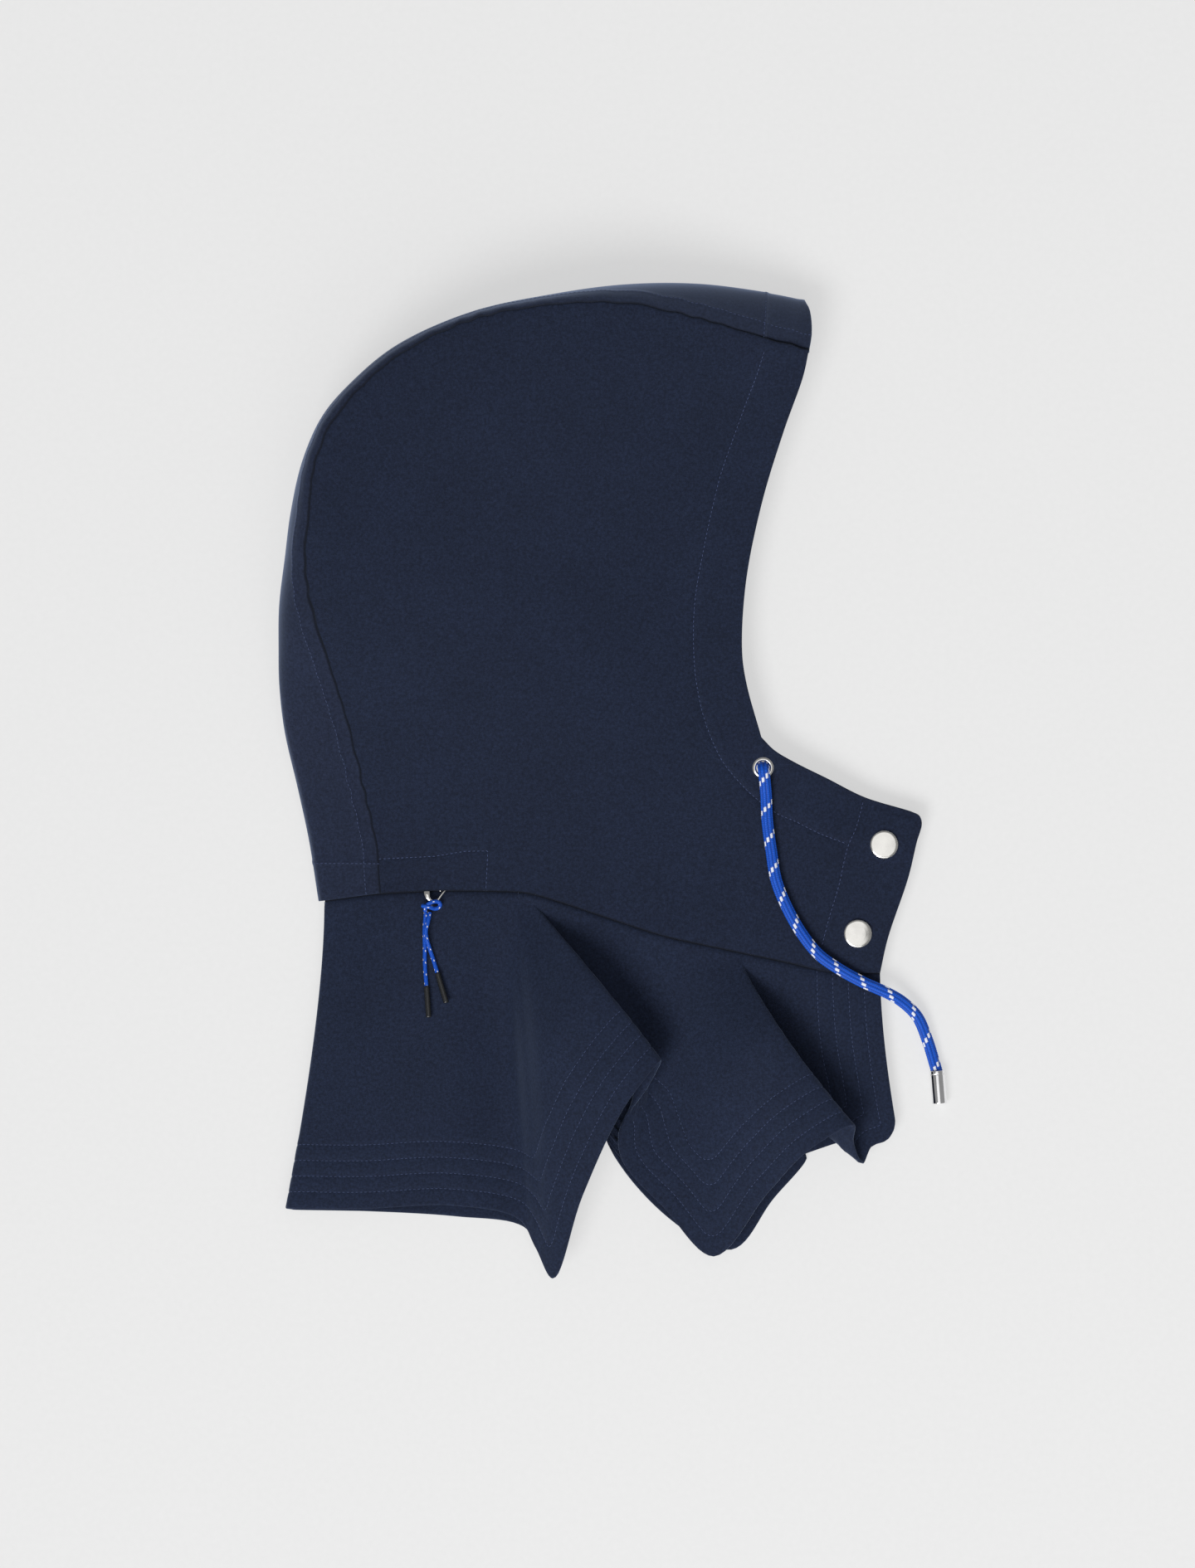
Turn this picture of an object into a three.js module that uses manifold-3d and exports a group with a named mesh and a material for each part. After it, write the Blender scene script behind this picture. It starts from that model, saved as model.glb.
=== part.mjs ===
// A detachable hood of navy softshell cloth with a flared neck skirt, in millimetres, +Z up.
// It lies on its left side, folded in half at the centre back, with the face opening towards +X and
// the crown towards +Y. The origin is on the surface it lies on, under the middle of its outline.
import * as THREE from "three";
import { mergeVertices } from "three/addons/utils/BufferGeometryUtils.js";
import Module from "manifold-3d";

const wasm = await Module();
wasm.setup();

// Driving dimensions
const WIDTH = 348; // back of the crown to the corner of the throat tab
const HOOD_HEIGHT = 332; // neck level to the top of the crown
const SKIRT_DEPTH = 207; // neck level to the lowest corner of the skirt
const LOFT = 56; // height of the crown as the hood lies
const CLOTH = 1.2; // wall of the softshell cloth
const GAP = 0.3; // clearance between pieces that touch
const SEAM_GAP = 0.9; // clearance between two panels along the crown seam, where the gusset leans over
const NECK_GAP = 0.6; // clearance between the hood's edge and the skirt's edge inside it
const LAYER = CLOTH + 1; // rise from one folded layer to the next where they lie on each other
const NECK_TUCK = 4; // how far the skirt's top edge runs up inside the hood
const NECK_LIP = 2; // how far below the hood's edge the skirt stays level before it flares
const ZIP = { width: 7, thickness: 2.2, inset: 0.5, from: 0.165, to: 0.324 };
const SLIDER = { width: 11, length: 6, thickness: 1.8, x: 0.2445 };
const BAIL = { wire: 1.3, reach: 4.4, top: 9, bottom: 4.6 };
const SNAP = { diameter: 15.4, cap: 2.6, rim: 0.7, post: 4.4, socket: 9.5, depth: 2.2 };
const STUD = { diameter: 9, post: 4, knob: 5.6, depth: 2.6, rim: 1, back: 7, backDepth: 0.8 };
const EYELET = { outer: 11.8, hole: 7.2, wall: 0.8, flange: 0.8 };
const TAB_LIFT = STUD.depth + GAP; // rise of the left throat tab, which lies on its studs
const CORD_DIAMETER = 5.6;
const CORD_END = { diameter: 8.2, length: 17.8 };
const PULL_CORD_DIAMETER = 2.2;
const PULL_KNOT = { width: 11.2, length: 5.8, depth: 4.6, x: -91.6, y: -68, z: 12.3 };
const PULL_TIP = { diameter: 3.1, length: 17 };

// Facets
const SEAM_STEPS = 30;
const FACE_STEPS = 12;
const TAB_STEPS = 14;
const NECK_STEPS = 14;
const GUSSET_STEPS = 6;
const UPPER_RINGS = [0.16, 0.34, 0.52, 0.7, 0.86, 1];
const LOWER_RINGS = [0.2, 0.6, 0.85, 1];
const RIB_STEPS = 8;
const STEPS_PER_RIB = 2;
const ROUND = 20;

// Tables. x is a share of WIDTH from the back of the crown, y a share of HOOD_HEIGHT above neck level,
// and heights are shares of LOFT.

// The crown seam from nape to brow: where it runs, where the gusset beside it folds over, and its height.
const CROWN_SEAM = [
  { x: 0.156, y: 0.005, foldX: 0.062, foldY: -0.008, height: 0.2 },
  { x: 0.15, y: 0.084, foldX: 0.047, foldY: 0.092, height: 0.21 },
  { x: 0.133, y: 0.164, foldX: 0.03, foldY: 0.175, height: 0.25 },
  { x: 0.105, y: 0.285, foldX: 0.009, foldY: 0.271, height: 0.38 },
  { x: 0.081, y: 0.365, foldX: 0.001, foldY: 0.345, height: 0.52 },
  { x: 0.062, y: 0.425, foldX: 0, foldY: 0.404, height: 0.65 },
  { x: 0.045, y: 0.49, foldX: 0.001, foldY: 0.475, height: 0.78 },
  { x: 0.039, y: 0.56, foldX: 0.01, foldY: 0.554, height: 0.87 },
  { x: 0.045, y: 0.619, foldX: 0.019, foldY: 0.627, height: 0.92 },
  { x: 0.054, y: 0.702, foldX: 0.037, foldY: 0.71, height: 0.96 },
  { x: 0.081, y: 0.772, foldX: 0.068, foldY: 0.783, height: 0.98 },
  { x: 0.124, y: 0.828, foldX: 0.114, foldY: 0.839, height: 0.99 },
  { x: 0.191, y: 0.887, foldX: 0.183, foldY: 0.898, height: 0.99 },
  { x: 0.303, y: 0.942, foldX: 0.298, foldY: 0.952, height: 0.98 },
  { x: 0.426, y: 0.966, foldX: 0.424, foldY: 0.981, height: 0.95 },
  { x: 0.538, y: 0.968, foldX: 0.538, foldY: 0.997, height: 0.89 },
  { x: 0.65, y: 0.944, foldX: 0.653, foldY: 0.998, height: 0.79 },
  { x: 0.762, y: 0.91, foldX: 0.766, foldY: 0.983, height: 0.66 },
  { x: 0.824, y: 0.893, foldX: 0.821, foldY: 0.972, height: 0.56 },
];

// The edge of the face opening, from the brow down to the throat.
const FACE_EDGE = [
  { x: 0.824, y: 0.893, height: 0.56 },
  { x: 0.815, y: 0.849, height: 0.52 },
  { x: 0.785, y: 0.76, height: 0.46 },
  { x: 0.751, y: 0.643, height: 0.4 },
  { x: 0.726, y: 0.513, height: 0.36 },
  { x: 0.72, y: 0.4, height: 0.33 },
  { x: 0.727, y: 0.347, height: 0.31 },
  { x: 0.75, y: 0.26, height: 0.28 },
];

// The throat tab: its top edge, its rounded corner and its front edge.
const TAB_EDGE = [
  { x: 0.75, y: 0.26, height: 0.28 },
  { x: 0.77, y: 0.239, height: 0.27 },
  { x: 0.802, y: 0.219, height: 0.25 },
  { x: 0.852, y: 0.193, height: 0.23 },
  { x: 0.911, y: 0.162, height: 0.19 },
  { x: 0.985, y: 0.138, height: 0.19 },
  { x: 0.996, y: 0.132, height: 0.19 },
  { x: 1, y: 0.119, height: 0.19 },
  { x: 0.992, y: 0.088, height: 0.19 },
  { x: 0.979, y: 0.031, height: 0.19 },
  { x: 0.947, y: -0.069, height: 0.18 },
  { x: 0.935, y: -0.125, height: 0.18 },
];

// The neck seam from the front edge back to the nape.
const NECK_SEAM = [
  { x: 0.935, y: -0.125, height: 0.18 },
  { x: 0.87, y: -0.125, height: 0.2 },
  { x: 0.798, y: -0.109, height: 0.23 },
  { x: 0.734, y: -0.095, height: 0.25 },
  { x: 0.657, y: -0.078, height: 0.26 },
  { x: 0.598, y: -0.064, height: 0.26 },
  { x: 0.494, y: -0.029, height: 0.25 },
  { x: 0.437, y: -0.009, height: 0.25 },
  { x: 0.384, y: 0.006, height: 0.24 },
  { x: 0.322, y: 0.009, height: 0.23 },
  { x: 0.226, y: 0.009, height: 0.22 },
  { x: 0.156, y: 0.005, height: 0.2 },
];

// The middle of a side panel, from which its rings spread out to the rim.
const PANEL_MIDDLE = { x: 0.469, y: 0.244 };
const BLEND = 2.6; // how strongly the nearest stretch of the rim sets a panel's height
const TOUCHING = 1e-6; // distance under which a point is on the rim

// The skirt's fold lines on the right half, which lies on top, from the centre back to the front edge:
// where each starts at the neck, its middle and its hem, with y as shares of SKIRT_DEPTH below the neck.
const RIGHT_FOLDS = [
  { neckX: 0.083, midX: 0.061, midY: 0.3, midZ: 0.17, hemX: 0.02, hemY: 0.817, hemZ: 0.16 },
  { neckX: 0.15, midX: 0.145, midY: 0.41, midZ: 0.18, hemX: 0.13, hemY: 0.818, hemZ: 0.17 },
  { neckX: 0.27, midX: 0.26, midY: 0.412, midZ: 0.18, hemX: 0.27, hemY: 0.81, hemZ: 0.17 },
  { neckX: 0.35, midX: 0.35, midY: 0.43, midZ: 0.17, hemX: 0.368, hemY: 0.845, hemZ: 0.17 },
  { neckX: 0.376, midX: 0.392, midY: 0.47, midZ: 0.33, hemX: 0.399, hemY: 0.92, hemZ: 0.18 },
  { neckX: 0.386, midX: 0.418, midY: 0.46, midZ: 0.52, hemX: 0.426, hemY: 1, hemZ: 0.3 },
  { neckX: 0.394, midX: 0.448, midY: 0.41, midZ: 0.66, hemX: 0.471, hemY: 0.785, hemZ: 0.56 },
  { neckX: 0.402, midX: 0.475, midY: 0.33, midZ: 0.72, hemX: 0.535, hemY: 0.555, hemZ: 0.74 },
  { neckX: 0.41, midX: 0.494, midY: 0.262, midZ: 0.66, hemX: 0.593, hemY: 0.43, hemZ: 0.68 },
  { neckX: 0.42, midX: 0.47, midY: 0.31, midZ: 0.47, hemX: 0.557, hemY: 0.495, hemZ: 0.44 },
  { neckX: 0.432, midX: 0.455, midY: 0.37, midZ: 0.27, hemX: 0.513, hemY: 0.615, hemZ: 0.25 },
  { neckX: 0.46, midX: 0.5, midY: 0.42, midZ: 0.17, hemX: 0.53, hemY: 0.71, hemZ: 0.16 },
  { neckX: 0.52, midX: 0.56, midY: 0.47, midZ: 0.17, hemX: 0.598, hemY: 0.815, hemZ: 0.16 },
  { neckX: 0.6, midX: 0.635, midY: 0.5, midZ: 0.26, hemX: 0.676, hemY: 0.943, hemZ: 0.18 },
  { neckX: 0.66, midX: 0.7, midY: 0.47, midZ: 0.44, hemX: 0.76, hemY: 0.776, hemZ: 0.38 },
  { neckX: 0.69, midX: 0.745, midY: 0.42, midZ: 0.56, hemX: 0.825, hemY: 0.662, hemZ: 0.56 },
  { neckX: 0.71, midX: 0.787, midY: 0.37, midZ: 0.54, hemX: 0.893, hemY: 0.6, hemZ: 0.55 },
  { neckX: 0.722, midX: 0.77, midY: 0.4, midZ: 0.36, hemX: 0.893, hemY: 0.645, hemZ: 0.38 },
  { neckX: 0.735, midX: 0.765, midY: 0.43, midZ: 0.17, hemX: 0.908, hemY: 0.7, hemZ: 0.23 },
  { neckX: 0.785, midX: 0.84, midY: 0.43, midZ: 0.15, hemX: 0.922, hemY: 0.655, hemZ: 0.15 },
  { neckX: 0.86, midX: 0.9, midY: 0.42, midZ: 0.15, hemX: 0.942, hemY: 0.642, hemZ: 0.14 },
  { neckX: 0.93, midX: 0.94, midY: 0.4, midZ: 0.15, hemX: 0.961, hemY: 0.618, hemZ: 0.14 },
];

// The same for the left half, from the front edge to the centre back. It lies flat underneath, so its
// heights are counted in layers above the surface.
const LEFT_FOLDS = [
  { neckX: 0.925, midX: 0.934, midY: 0.4, midLayer: 0, hemX: 0.953, hemY: 0.6, hemLayer: 0 },
  { neckX: 0.86, midX: 0.89, midY: 0.41, midLayer: 0, hemX: 0.925, hemY: 0.62, hemLayer: 0 },
  { neckX: 0.79, midX: 0.83, midY: 0.43, midLayer: 1.2, hemX: 0.87, hemY: 0.645, hemLayer: 1.2 },
  { neckX: 0.745, midX: 0.745, midY: 0.45, midLayer: 2.3, hemX: 0.775, hemY: 0.7, hemLayer: 2.5 },
  { neckX: 0.735, midX: 0.752, midY: 0.43, midLayer: 1.4, hemX: 0.79, hemY: 0.69, hemLayer: 1.5 },
  { neckX: 0.725, midX: 0.768, midY: 0.4, midLayer: 0.6, hemX: 0.82, hemY: 0.685, hemLayer: 0.7 },
  { neckX: 0.7, midX: 0.73, midY: 0.44, midLayer: 0, hemX: 0.765, hemY: 0.8, hemLayer: 0 },
  { neckX: 0.64, midX: 0.67, midY: 0.47, midLayer: 0, hemX: 0.704, hemY: 0.925, hemLayer: 0 },
  { neckX: 0.53, midX: 0.57, midY: 0.47, midLayer: 1, hemX: 0.6, hemY: 0.835, hemLayer: 0.8 },
  { neckX: 0.44, midX: 0.46, midY: 0.38, midLayer: 2.3, hemX: 0.515, hemY: 0.64, hemLayer: 2.5 },
  { neckX: 0.425, midX: 0.468, midY: 0.33, midLayer: 1.4, hemX: 0.54, hemY: 0.54, hemLayer: 1.5 },
  { neckX: 0.415, midX: 0.484, midY: 0.28, midLayer: 0.6, hemX: 0.562, hemY: 0.47, hemLayer: 0.7 },
  { neckX: 0.4, midX: 0.455, midY: 0.37, midLayer: 0, hemX: 0.49, hemY: 0.69, hemLayer: 0 },
  { neckX: 0.385, midX: 0.41, midY: 0.45, midLayer: 0, hemX: 0.414, hemY: 0.94, hemLayer: 0 },
  { neckX: 0.36, midX: 0.365, midY: 0.43, midLayer: 0, hemX: 0.38, hemY: 0.865, hemLayer: 0 },
  { neckX: 0.27, midX: 0.26, midY: 0.42, midLayer: 0, hemX: 0.275, hemY: 0.838, hemLayer: 0 },
  { neckX: 0.15, midX: 0.145, midY: 0.415, midLayer: 0, hemX: 0.13, hemY: 0.824, hemLayer: 0 },
  { neckX: 0.083, midX: 0.061, midY: 0.3, midLayer: 0, hemX: 0.02, hemY: 0.82, hemLayer: 0 },
];

// The centre back fold, where the two halves of the skirt join.
const BACK_FOLD = { neckX: 0.071, midX: 0.05, midY: 0.3, midZ: 0.11, hemX: 0.011, hemY: 0.818, hemZ: 0.11 };

const SNAPS = [
  { name: "upper", x: 0.941, y: 0.0845 },
  { name: "lower", x: 0.9, y: -0.061 },
];
const EYELET_AT = { x: 0.7525, y: 0.21 };

// The cords' routes, in millimetres from the origin, chosen by hand.
const DRAWCORD_ROUTE = [
  [88.2, 6.2, 20.2],
  [88.8, 0.5, 20.1],
  [89.5, -7.7, 19.1],
  [90.2, -21.8, 18.8],
  [92.3, -37.6, 18.4],
  [95, -53.6, 18.1],
  [100.5, -67.7, 17.7],
  [108.4, -81.9, 17.2],
  [117.9, -93.8, 16.6],
  [128.9, -101.7, 15.8],
  [141.5, -108.7, 14.1],
  [149.4, -112.2, 12.9],
  [155.6, -115, 11.7],
  [163.6, -119.8, 8.8],
  [171.5, -127.7, 6.8],
  [177, -140.4, 5.1],
  [180.9, -153, 4.2],
  [182.3, -158, 4.15],
];
const PULL_ROUTES = {
  left: [
    [-95.2, -71.2, 11],
    [-96, -80, 11.1],
    [-95.9, -89.3, 11.3],
    [-95.6, -100, 11.75],
    [-94.5, -110.9, 12.35],
  ],
  right: [
    [-92.4, -71.2, 11.05],
    [-92.9, -79, 11.15],
    [-92.7, -87.1, 11.35],
    [-91.3, -95.5, 11.7],
    [-88.7, -103.7, 12.3],
  ],
};

// Small helpers
const smooth = (from, to, value) => THREE.MathUtils.smoothstep(value, from, to);
const place = ({ x, y, height }) => new THREE.Vector3(x * WIDTH, y * HOOD_HEIGHT, CLOTH / 2 + height * LOFT);

function sample(points, steps) {
  return new THREE.CatmullRomCurve3(points, false, "centripetal").getPoints(steps);
}

function solidOf(geometry) {
  const bare = geometry.index ? geometry.toNonIndexed() : geometry.clone();
  bare.deleteAttribute("normal");
  bare.deleteAttribute("uv");
  const merged = mergeVertices(bare, 1e-4);
  return new wasm.Manifold(
    new wasm.Mesh({
      numProp: 3,
      vertProperties: merged.attributes.position.array,
      triVerts: new Uint32Array(merged.index.array),
    }),
  );
}

function geometryOf(solid) {
  const mesh = solid.getMesh();
  const position = new THREE.BufferAttribute(new Float32Array(mesh.vertProperties), 3);
  return new THREE.BufferGeometry()
    .setAttribute("position", position)
    .setIndex(new THREE.BufferAttribute(new Uint32Array(mesh.triVerts), 1));
}

function triangleNormal(points, [a, b, c]) {
  const side = points[b].clone().sub(points[a]);
  return side.cross(points[c].clone().sub(points[a]));
}

// A wall of the cloth's thickness around a middle surface. upright walls are measured along Z.
function wall(points, triangles, upright, thickness = CLOTH) {
  const normals = points.map(() => new THREE.Vector3());
  for (const triangle of triangles) {
    const normal = triangleNormal(points, triangle);
    triangle.forEach((i) => normals[i].add(normal));
  }
  const half = (i) => (upright ? new THREE.Vector3(0, 0, Math.sign(normals[i].z)) : normals[i].normalize());
  const offsets = points.map((_, i) => half(i).multiplyScalar(thickness / 2));
  const count = points.length;
  const corners = [
    ...points.map((p, i) => p.clone().add(offsets[i])),
    ...points.map((p, i) => p.clone().sub(offsets[i])),
  ];
  const faces = [];
  const open = new Map();
  for (const [a, b, c] of triangles) {
    faces.push([a, b, c], [c + count, b + count, a + count]);
    for (const [from, to] of [[a, b], [b, c], [c, a]]) {
      if (!open.delete(`${to} ${from}`)) open.set(`${from} ${to}`, [from, to]);
    }
  }
  for (const [from, to] of open.values()) {
    faces.push([from, from + count, to + count], [from, to + count, to]);
  }
  const flat = faces.flatMap((face) => face.flatMap((i) => corners[i].toArray()));
  const made = new THREE.BufferGeometry();
  return made.setAttribute("position", new THREE.Float32BufferAttribute(flat, 3));
}

// The triangles of a grid of columns, each a list of points from one side to the other.
function gridTriangles(columns, rows) {
  const triangles = [];
  for (let i = 0; i + 1 < columns; i++) {
    for (let j = 0; j + 1 < rows; j++) {
      const at = i * rows + j;
      triangles.push([at, at + rows, at + rows + 1], [at, at + rows + 1, at + 1]);
    }
  }
  return triangles;
}

// A side panel's rim, once round from the nape, over the crown, down the face, round the tab and back.
function panelRim(middle) {
  const inwards = (p) => middle.clone().sub(p).setZ(0).setLength(SEAM_GAP);
  const crown = sample(CROWN_SEAM.map(place), SEAM_STEPS).map((p) => p.add(inwards(p)));
  const free = [
    [FACE_EDGE, FACE_STEPS],
    [TAB_EDGE, TAB_STEPS],
    [NECK_SEAM, NECK_STEPS],
  ].flatMap(([rows, steps]) => sample(rows.map(place), steps).slice(1));
  return [...crown, ...free.slice(0, -1)];
}

// How high the left panel lies: flat, but for the throat tab, which rests on its studs.
function leftHeight(x, y) {
  const tab = smooth(0.54, 0.64, x / WIDTH) * (1 - smooth(0.3, 0.42, y / HOOD_HEIGHT));
  return CLOTH / 2 + TAB_LIFT * tab;
}

// How high the right panel lies: inside its rim it blends the rim's heights, the nearest ones most.
function rightHeight(p, rim) {
  let [weights, heights] = [0, 0];
  rim.forEach((edge, i) => {
    const next = rim[(i + 1) % rim.length];
    const away = Math.max(Math.hypot(edge.x - p.x, edge.y - p.y), TOUCHING);
    const weight = edge.distanceTo(next) / away ** BLEND;
    weights += weight;
    heights += weight * edge.z;
  });
  return heights / weights;
}

function panelWall(rings, heightAt) {
  const middle = new THREE.Vector3(PANEL_MIDDLE.x * WIDTH, PANEL_MIDDLE.y * HOOD_HEIGHT, 0);
  const rim = panelRim(middle);
  const points = [middle.clone().setZ(heightAt(middle, rim))];
  for (const share of rings) {
    for (const edge of rim) {
      const p = middle.clone().lerp(edge, share);
      points.push(p.setZ(heightAt(p, rim)));
    }
  }
  const triangles = [];
  const count = rim.length;
  for (let k = 0; k < count; k++) {
    const next = (k + 1) % count;
    triangles.push([0, 1 + next, 1 + k]);
    for (let ring = 0; ring + 1 < rings.length; ring++) {
      const inner = 1 + ring * count;
      const outer = inner + count;
      triangles.push([inner + k, inner + next, outer + next], [inner + k, outer + next, outer + k]);
    }
  }
  return wall(points, triangles, true);
}

// The gusset from nape to brow: at each step half an ellipse from the upper seam out and down to the lower.
function gussetWall() {
  const seam = sample(CROWN_SEAM.map(place), SEAM_STEPS);
  const folds = CROWN_SEAM.map((row) => new THREE.Vector3(row.foldX * WIDTH, row.foldY * HOOD_HEIGHT, 0));
  const fold = sample(folds, SEAM_STEPS);
  const points = seam.flatMap((top, i) => {
    const out = fold[i].clone().sub(top).setZ(0);
    const half = (top.z - CLOTH / 2) / 2;
    return Array.from({ length: GUSSET_STEPS + 1 }, (_, j) => {
      const turn = (Math.PI * j) / GUSSET_STEPS;
      const p = top.clone().addScaledVector(out, Math.sin(turn));
      return p.setZ(CLOTH / 2 + half * (1 + Math.cos(turn)));
    });
  });
  return wall(points, gridTriangles(seam.length, GUSSET_STEPS + 1), false);
}

// The hood's right neck edge at a distance from the back, found along the seam.
const neckLine = sample(NECK_SEAM.map(place), 60).reverse();

function neckAt(x) {
  const next = neckLine.findIndex((p) => p.x >= x);
  if (next < 1) return neckLine.at(next).clone().setX(x);
  const [a, b] = [neckLine[next - 1], neckLine[next]];
  return a.clone().lerp(b, (x - a.x) / (b.x - a.x));
}

// The room between the hood's edge and the skirt's, which holds the zip along the back of the neck.
function neckDrop(x) {
  const share = x / WIDTH;
  const zipped = smooth(0.09, 0.14, share) * (1 - smooth(0.36, 0.41, share));
  return CLOTH + NECK_GAP + ZIP.thickness * zipped;
}

// Where a fold of the skirt starts: on the right half, on the left half or on the back fold between them.
function neckStart(share, half) {
  const x = share * WIDTH;
  const edge = neckAt(x);
  const nape = place(CROWN_SEAM[0]);
  const foldX = CROWN_SEAM[0].foldX * WIDTH;
  const out = THREE.MathUtils.clamp((nape.x - x) / (nape.x - foldX), 0, 1);
  const rise = ((nape.z - CLOTH / 2) / 2) * (1 - Math.sqrt(1 - out * out));
  edge.y += out * (CROWN_SEAM[0].foldY - CROWN_SEAM[0].y) * HOOD_HEIGHT;
  const upper = edge.z - rise - neckDrop(x);
  const lower = leftHeight(x, edge.y) + rise + CLOTH + NECK_GAP;
  edge.z = { right: upper, left: lower, back: (upper + lower) / 2 }[half];
  return edge;
}

// A height along a fold line: level at the neck, and through its middle to its hem without overshooting.
function foldHeight(neck, middle, hem, share) {
  const [first, last] = [middle - neck, hem - middle];
  const slope = first * last > 0 ? (2 * first * last) / (first + last) : 0;
  const upper = share < 0.5;
  const t = upper ? 2 * share : 2 * share - 1;
  const [from, to, leave, arrive] = upper ? [neck, middle, 0, slope] : [middle, hem, slope, last];
  const blend = t * t * (3 - 2 * t);
  return from + (to - from) * blend + leave * t * (1 - t) ** 2 - arrive * t * t * (1 - t);
}

// A fold line as a curve through its neck, middle and hem.
function rib(row, half) {
  const height = (share, layers) => CLOTH / 2 + (half === "left" ? layers * LAYER : share * LOFT);
  const edge = neckStart(row.neckX, half);
  const inside = edge.clone().setY(edge.y + NECK_TUCK);
  const neck = edge.clone().setY(edge.y - NECK_LIP);
  const mid = new THREE.Vector3(row.midX * WIDTH, -row.midY * SKIRT_DEPTH, height(row.midZ, row.midLayer));
  const hem = new THREE.Vector3(row.hemX * WIDTH, -row.hemY * SKIRT_DEPTH, height(row.hemZ, row.hemLayer));
  const control = mid.clone().multiplyScalar(2).sub(neck.clone().add(hem).multiplyScalar(0.5));
  const line = new THREE.QuadraticBezierCurve3(neck, control, hem).getPoints(RIB_STEPS);
  return [inside, ...line.map((p, i) => p.setZ(foldHeight(neck.z, mid.z, hem.z, i / RIB_STEPS)))];
}

function skirtWall() {
  const ribs = [
    ...LEFT_FOLDS.map((row) => rib(row, "left")),
    rib(BACK_FOLD, "back"),
    ...RIGHT_FOLDS.map((row) => rib(row, "right")),
  ];
  const columns = (ribs.length - 1) * STEPS_PER_RIB + 1;
  const levels = ribs[0].map((_, j) => sample(ribs.map((points) => points[j]), columns - 1));
  const points = levels[0].flatMap((_, i) => levels.map((level) => level[i]));
  points.forEach((p) => p.setZ(Math.max(p.z, CLOTH / 2)));
  return wall(points, gridTriangles(columns, levels.length), false);
}

// Where a piece of a given radius sits on a wall, found by looking straight down at it: its centre, its
// tilt, and how far the wall rises above and falls below a flat disc there.
function seatOn(mesh, x, y, radius) {
  const look = (dx, dy) => {
    const from = new THREE.Vector3(x * WIDTH + dx, y * HOOD_HEIGHT + dy, 2 * LOFT);
    return new THREE.Raycaster(from, new THREE.Vector3(0, 0, -1)).intersectObject(mesh)[0].point;
  };
  const centre = look(0, 0);
  const ring = Array.from({ length: 12 }, (_, i) => {
    const turn = (Math.PI * i) / 6;
    return look(radius * Math.cos(turn), radius * Math.sin(turn));
  });
  const across = (i) => ring[i].clone().sub(ring[i + 6]);
  const normal = across(0).cross(across(3)).normalize();
  const heights = ring.map((p) => p.sub(centre).dot(normal));
  return { centre, normal, rise: Math.max(0, ...heights), fall: Math.min(0, ...heights) };
}

function seated(geometry, { centre, normal }) {
  const turn = new THREE.Quaternion().setFromUnitVectors(new THREE.Vector3(0, 0, 1), normal);
  return geometry.applyQuaternion(turn).translate(...centre.toArray());
}

// A turned piece about Z from its profile of [radius, height] pairs, going up.
function turned(profile, segments = ROUND) {
  const points = profile.map(([radius, height]) => new THREE.Vector2(radius, height));
  return new THREE.LatheGeometry(points, segments).rotateX(Math.PI / 2);
}

function drilled(geometry, seat, diameter) {
  const bit = turned([[0, -4 * CLOTH], [diameter / 2, -4 * CLOTH], [diameter / 2, 4 * CLOTH], [0, 4 * CLOTH]]);
  return geometryOf(solidOf(geometry).subtract(solidOf(seated(bit, seat))));
}

// A snap of the right tab: a domed cap outside, a post through the cloth and a socket inside.
function snapCap({ rise, fall }) {
  const under = rise + GAP;
  const inside = fall - CLOTH - 2 * GAP;
  const [edge, post, socket] = [SNAP.diameter / 2, SNAP.post / 2, SNAP.socket / 2];
  const dome = [0.93, 0.78, 0.5, 0].map((share) => {
    return [edge * share, under + SNAP.rim + (SNAP.cap - SNAP.rim) * Math.sqrt(1 - share * share)];
  });
  return turned([
    [0, inside - SNAP.depth + 1],
    [socket * 0.5, inside - SNAP.depth + 1],
    [socket * 0.5, inside - SNAP.depth],
    [socket, inside - SNAP.depth],
    [socket, inside],
    [post, inside],
    [post, under],
    [edge * 0.97, under],
    [edge, under + SNAP.rim],
    ...dome,
  ]);
}

// A snap of the left tab: a stud on its outside, which faces the surface, and a flat back inside.
function snapStud({ rise, fall }) {
  const under = fall - CLOTH - GAP;
  const above = rise + GAP;
  const [edge, post, knob, back] = [STUD.diameter / 2, STUD.post / 2, STUD.knob / 2, STUD.back / 2];
  return turned([
    [0, under - STUD.depth],
    [knob, under - STUD.depth],
    [knob, under - STUD.rim],
    [edge, under - STUD.rim],
    [edge, under],
    [post, under],
    [post, above],
    [back, above],
    [back, above + STUD.backDepth],
    [0, above + STUD.backDepth],
  ]);
}

// An eyelet: a barrel through the cloth between two flanges.
function eyelet({ rise, fall }) {
  const above = rise + GAP;
  const under = fall - CLOTH - GAP;
  const [hole, outer] = [EYELET.hole / 2, EYELET.outer / 2];
  const barrel = hole + EYELET.wall;
  return turned([
    [hole, under - EYELET.flange],
    [outer, under - EYELET.flange],
    [outer, under],
    [barrel, under],
    [barrel, above],
    [outer, above],
    [outer, above + EYELET.flange / 2],
    [outer - EYELET.flange / 2, above + EYELET.flange],
    [hole + EYELET.flange / 2, above + EYELET.flange],
    [hole, above + EYELET.flange / 2],
    [hole, under - EYELET.flange],
  ]);
}

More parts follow.
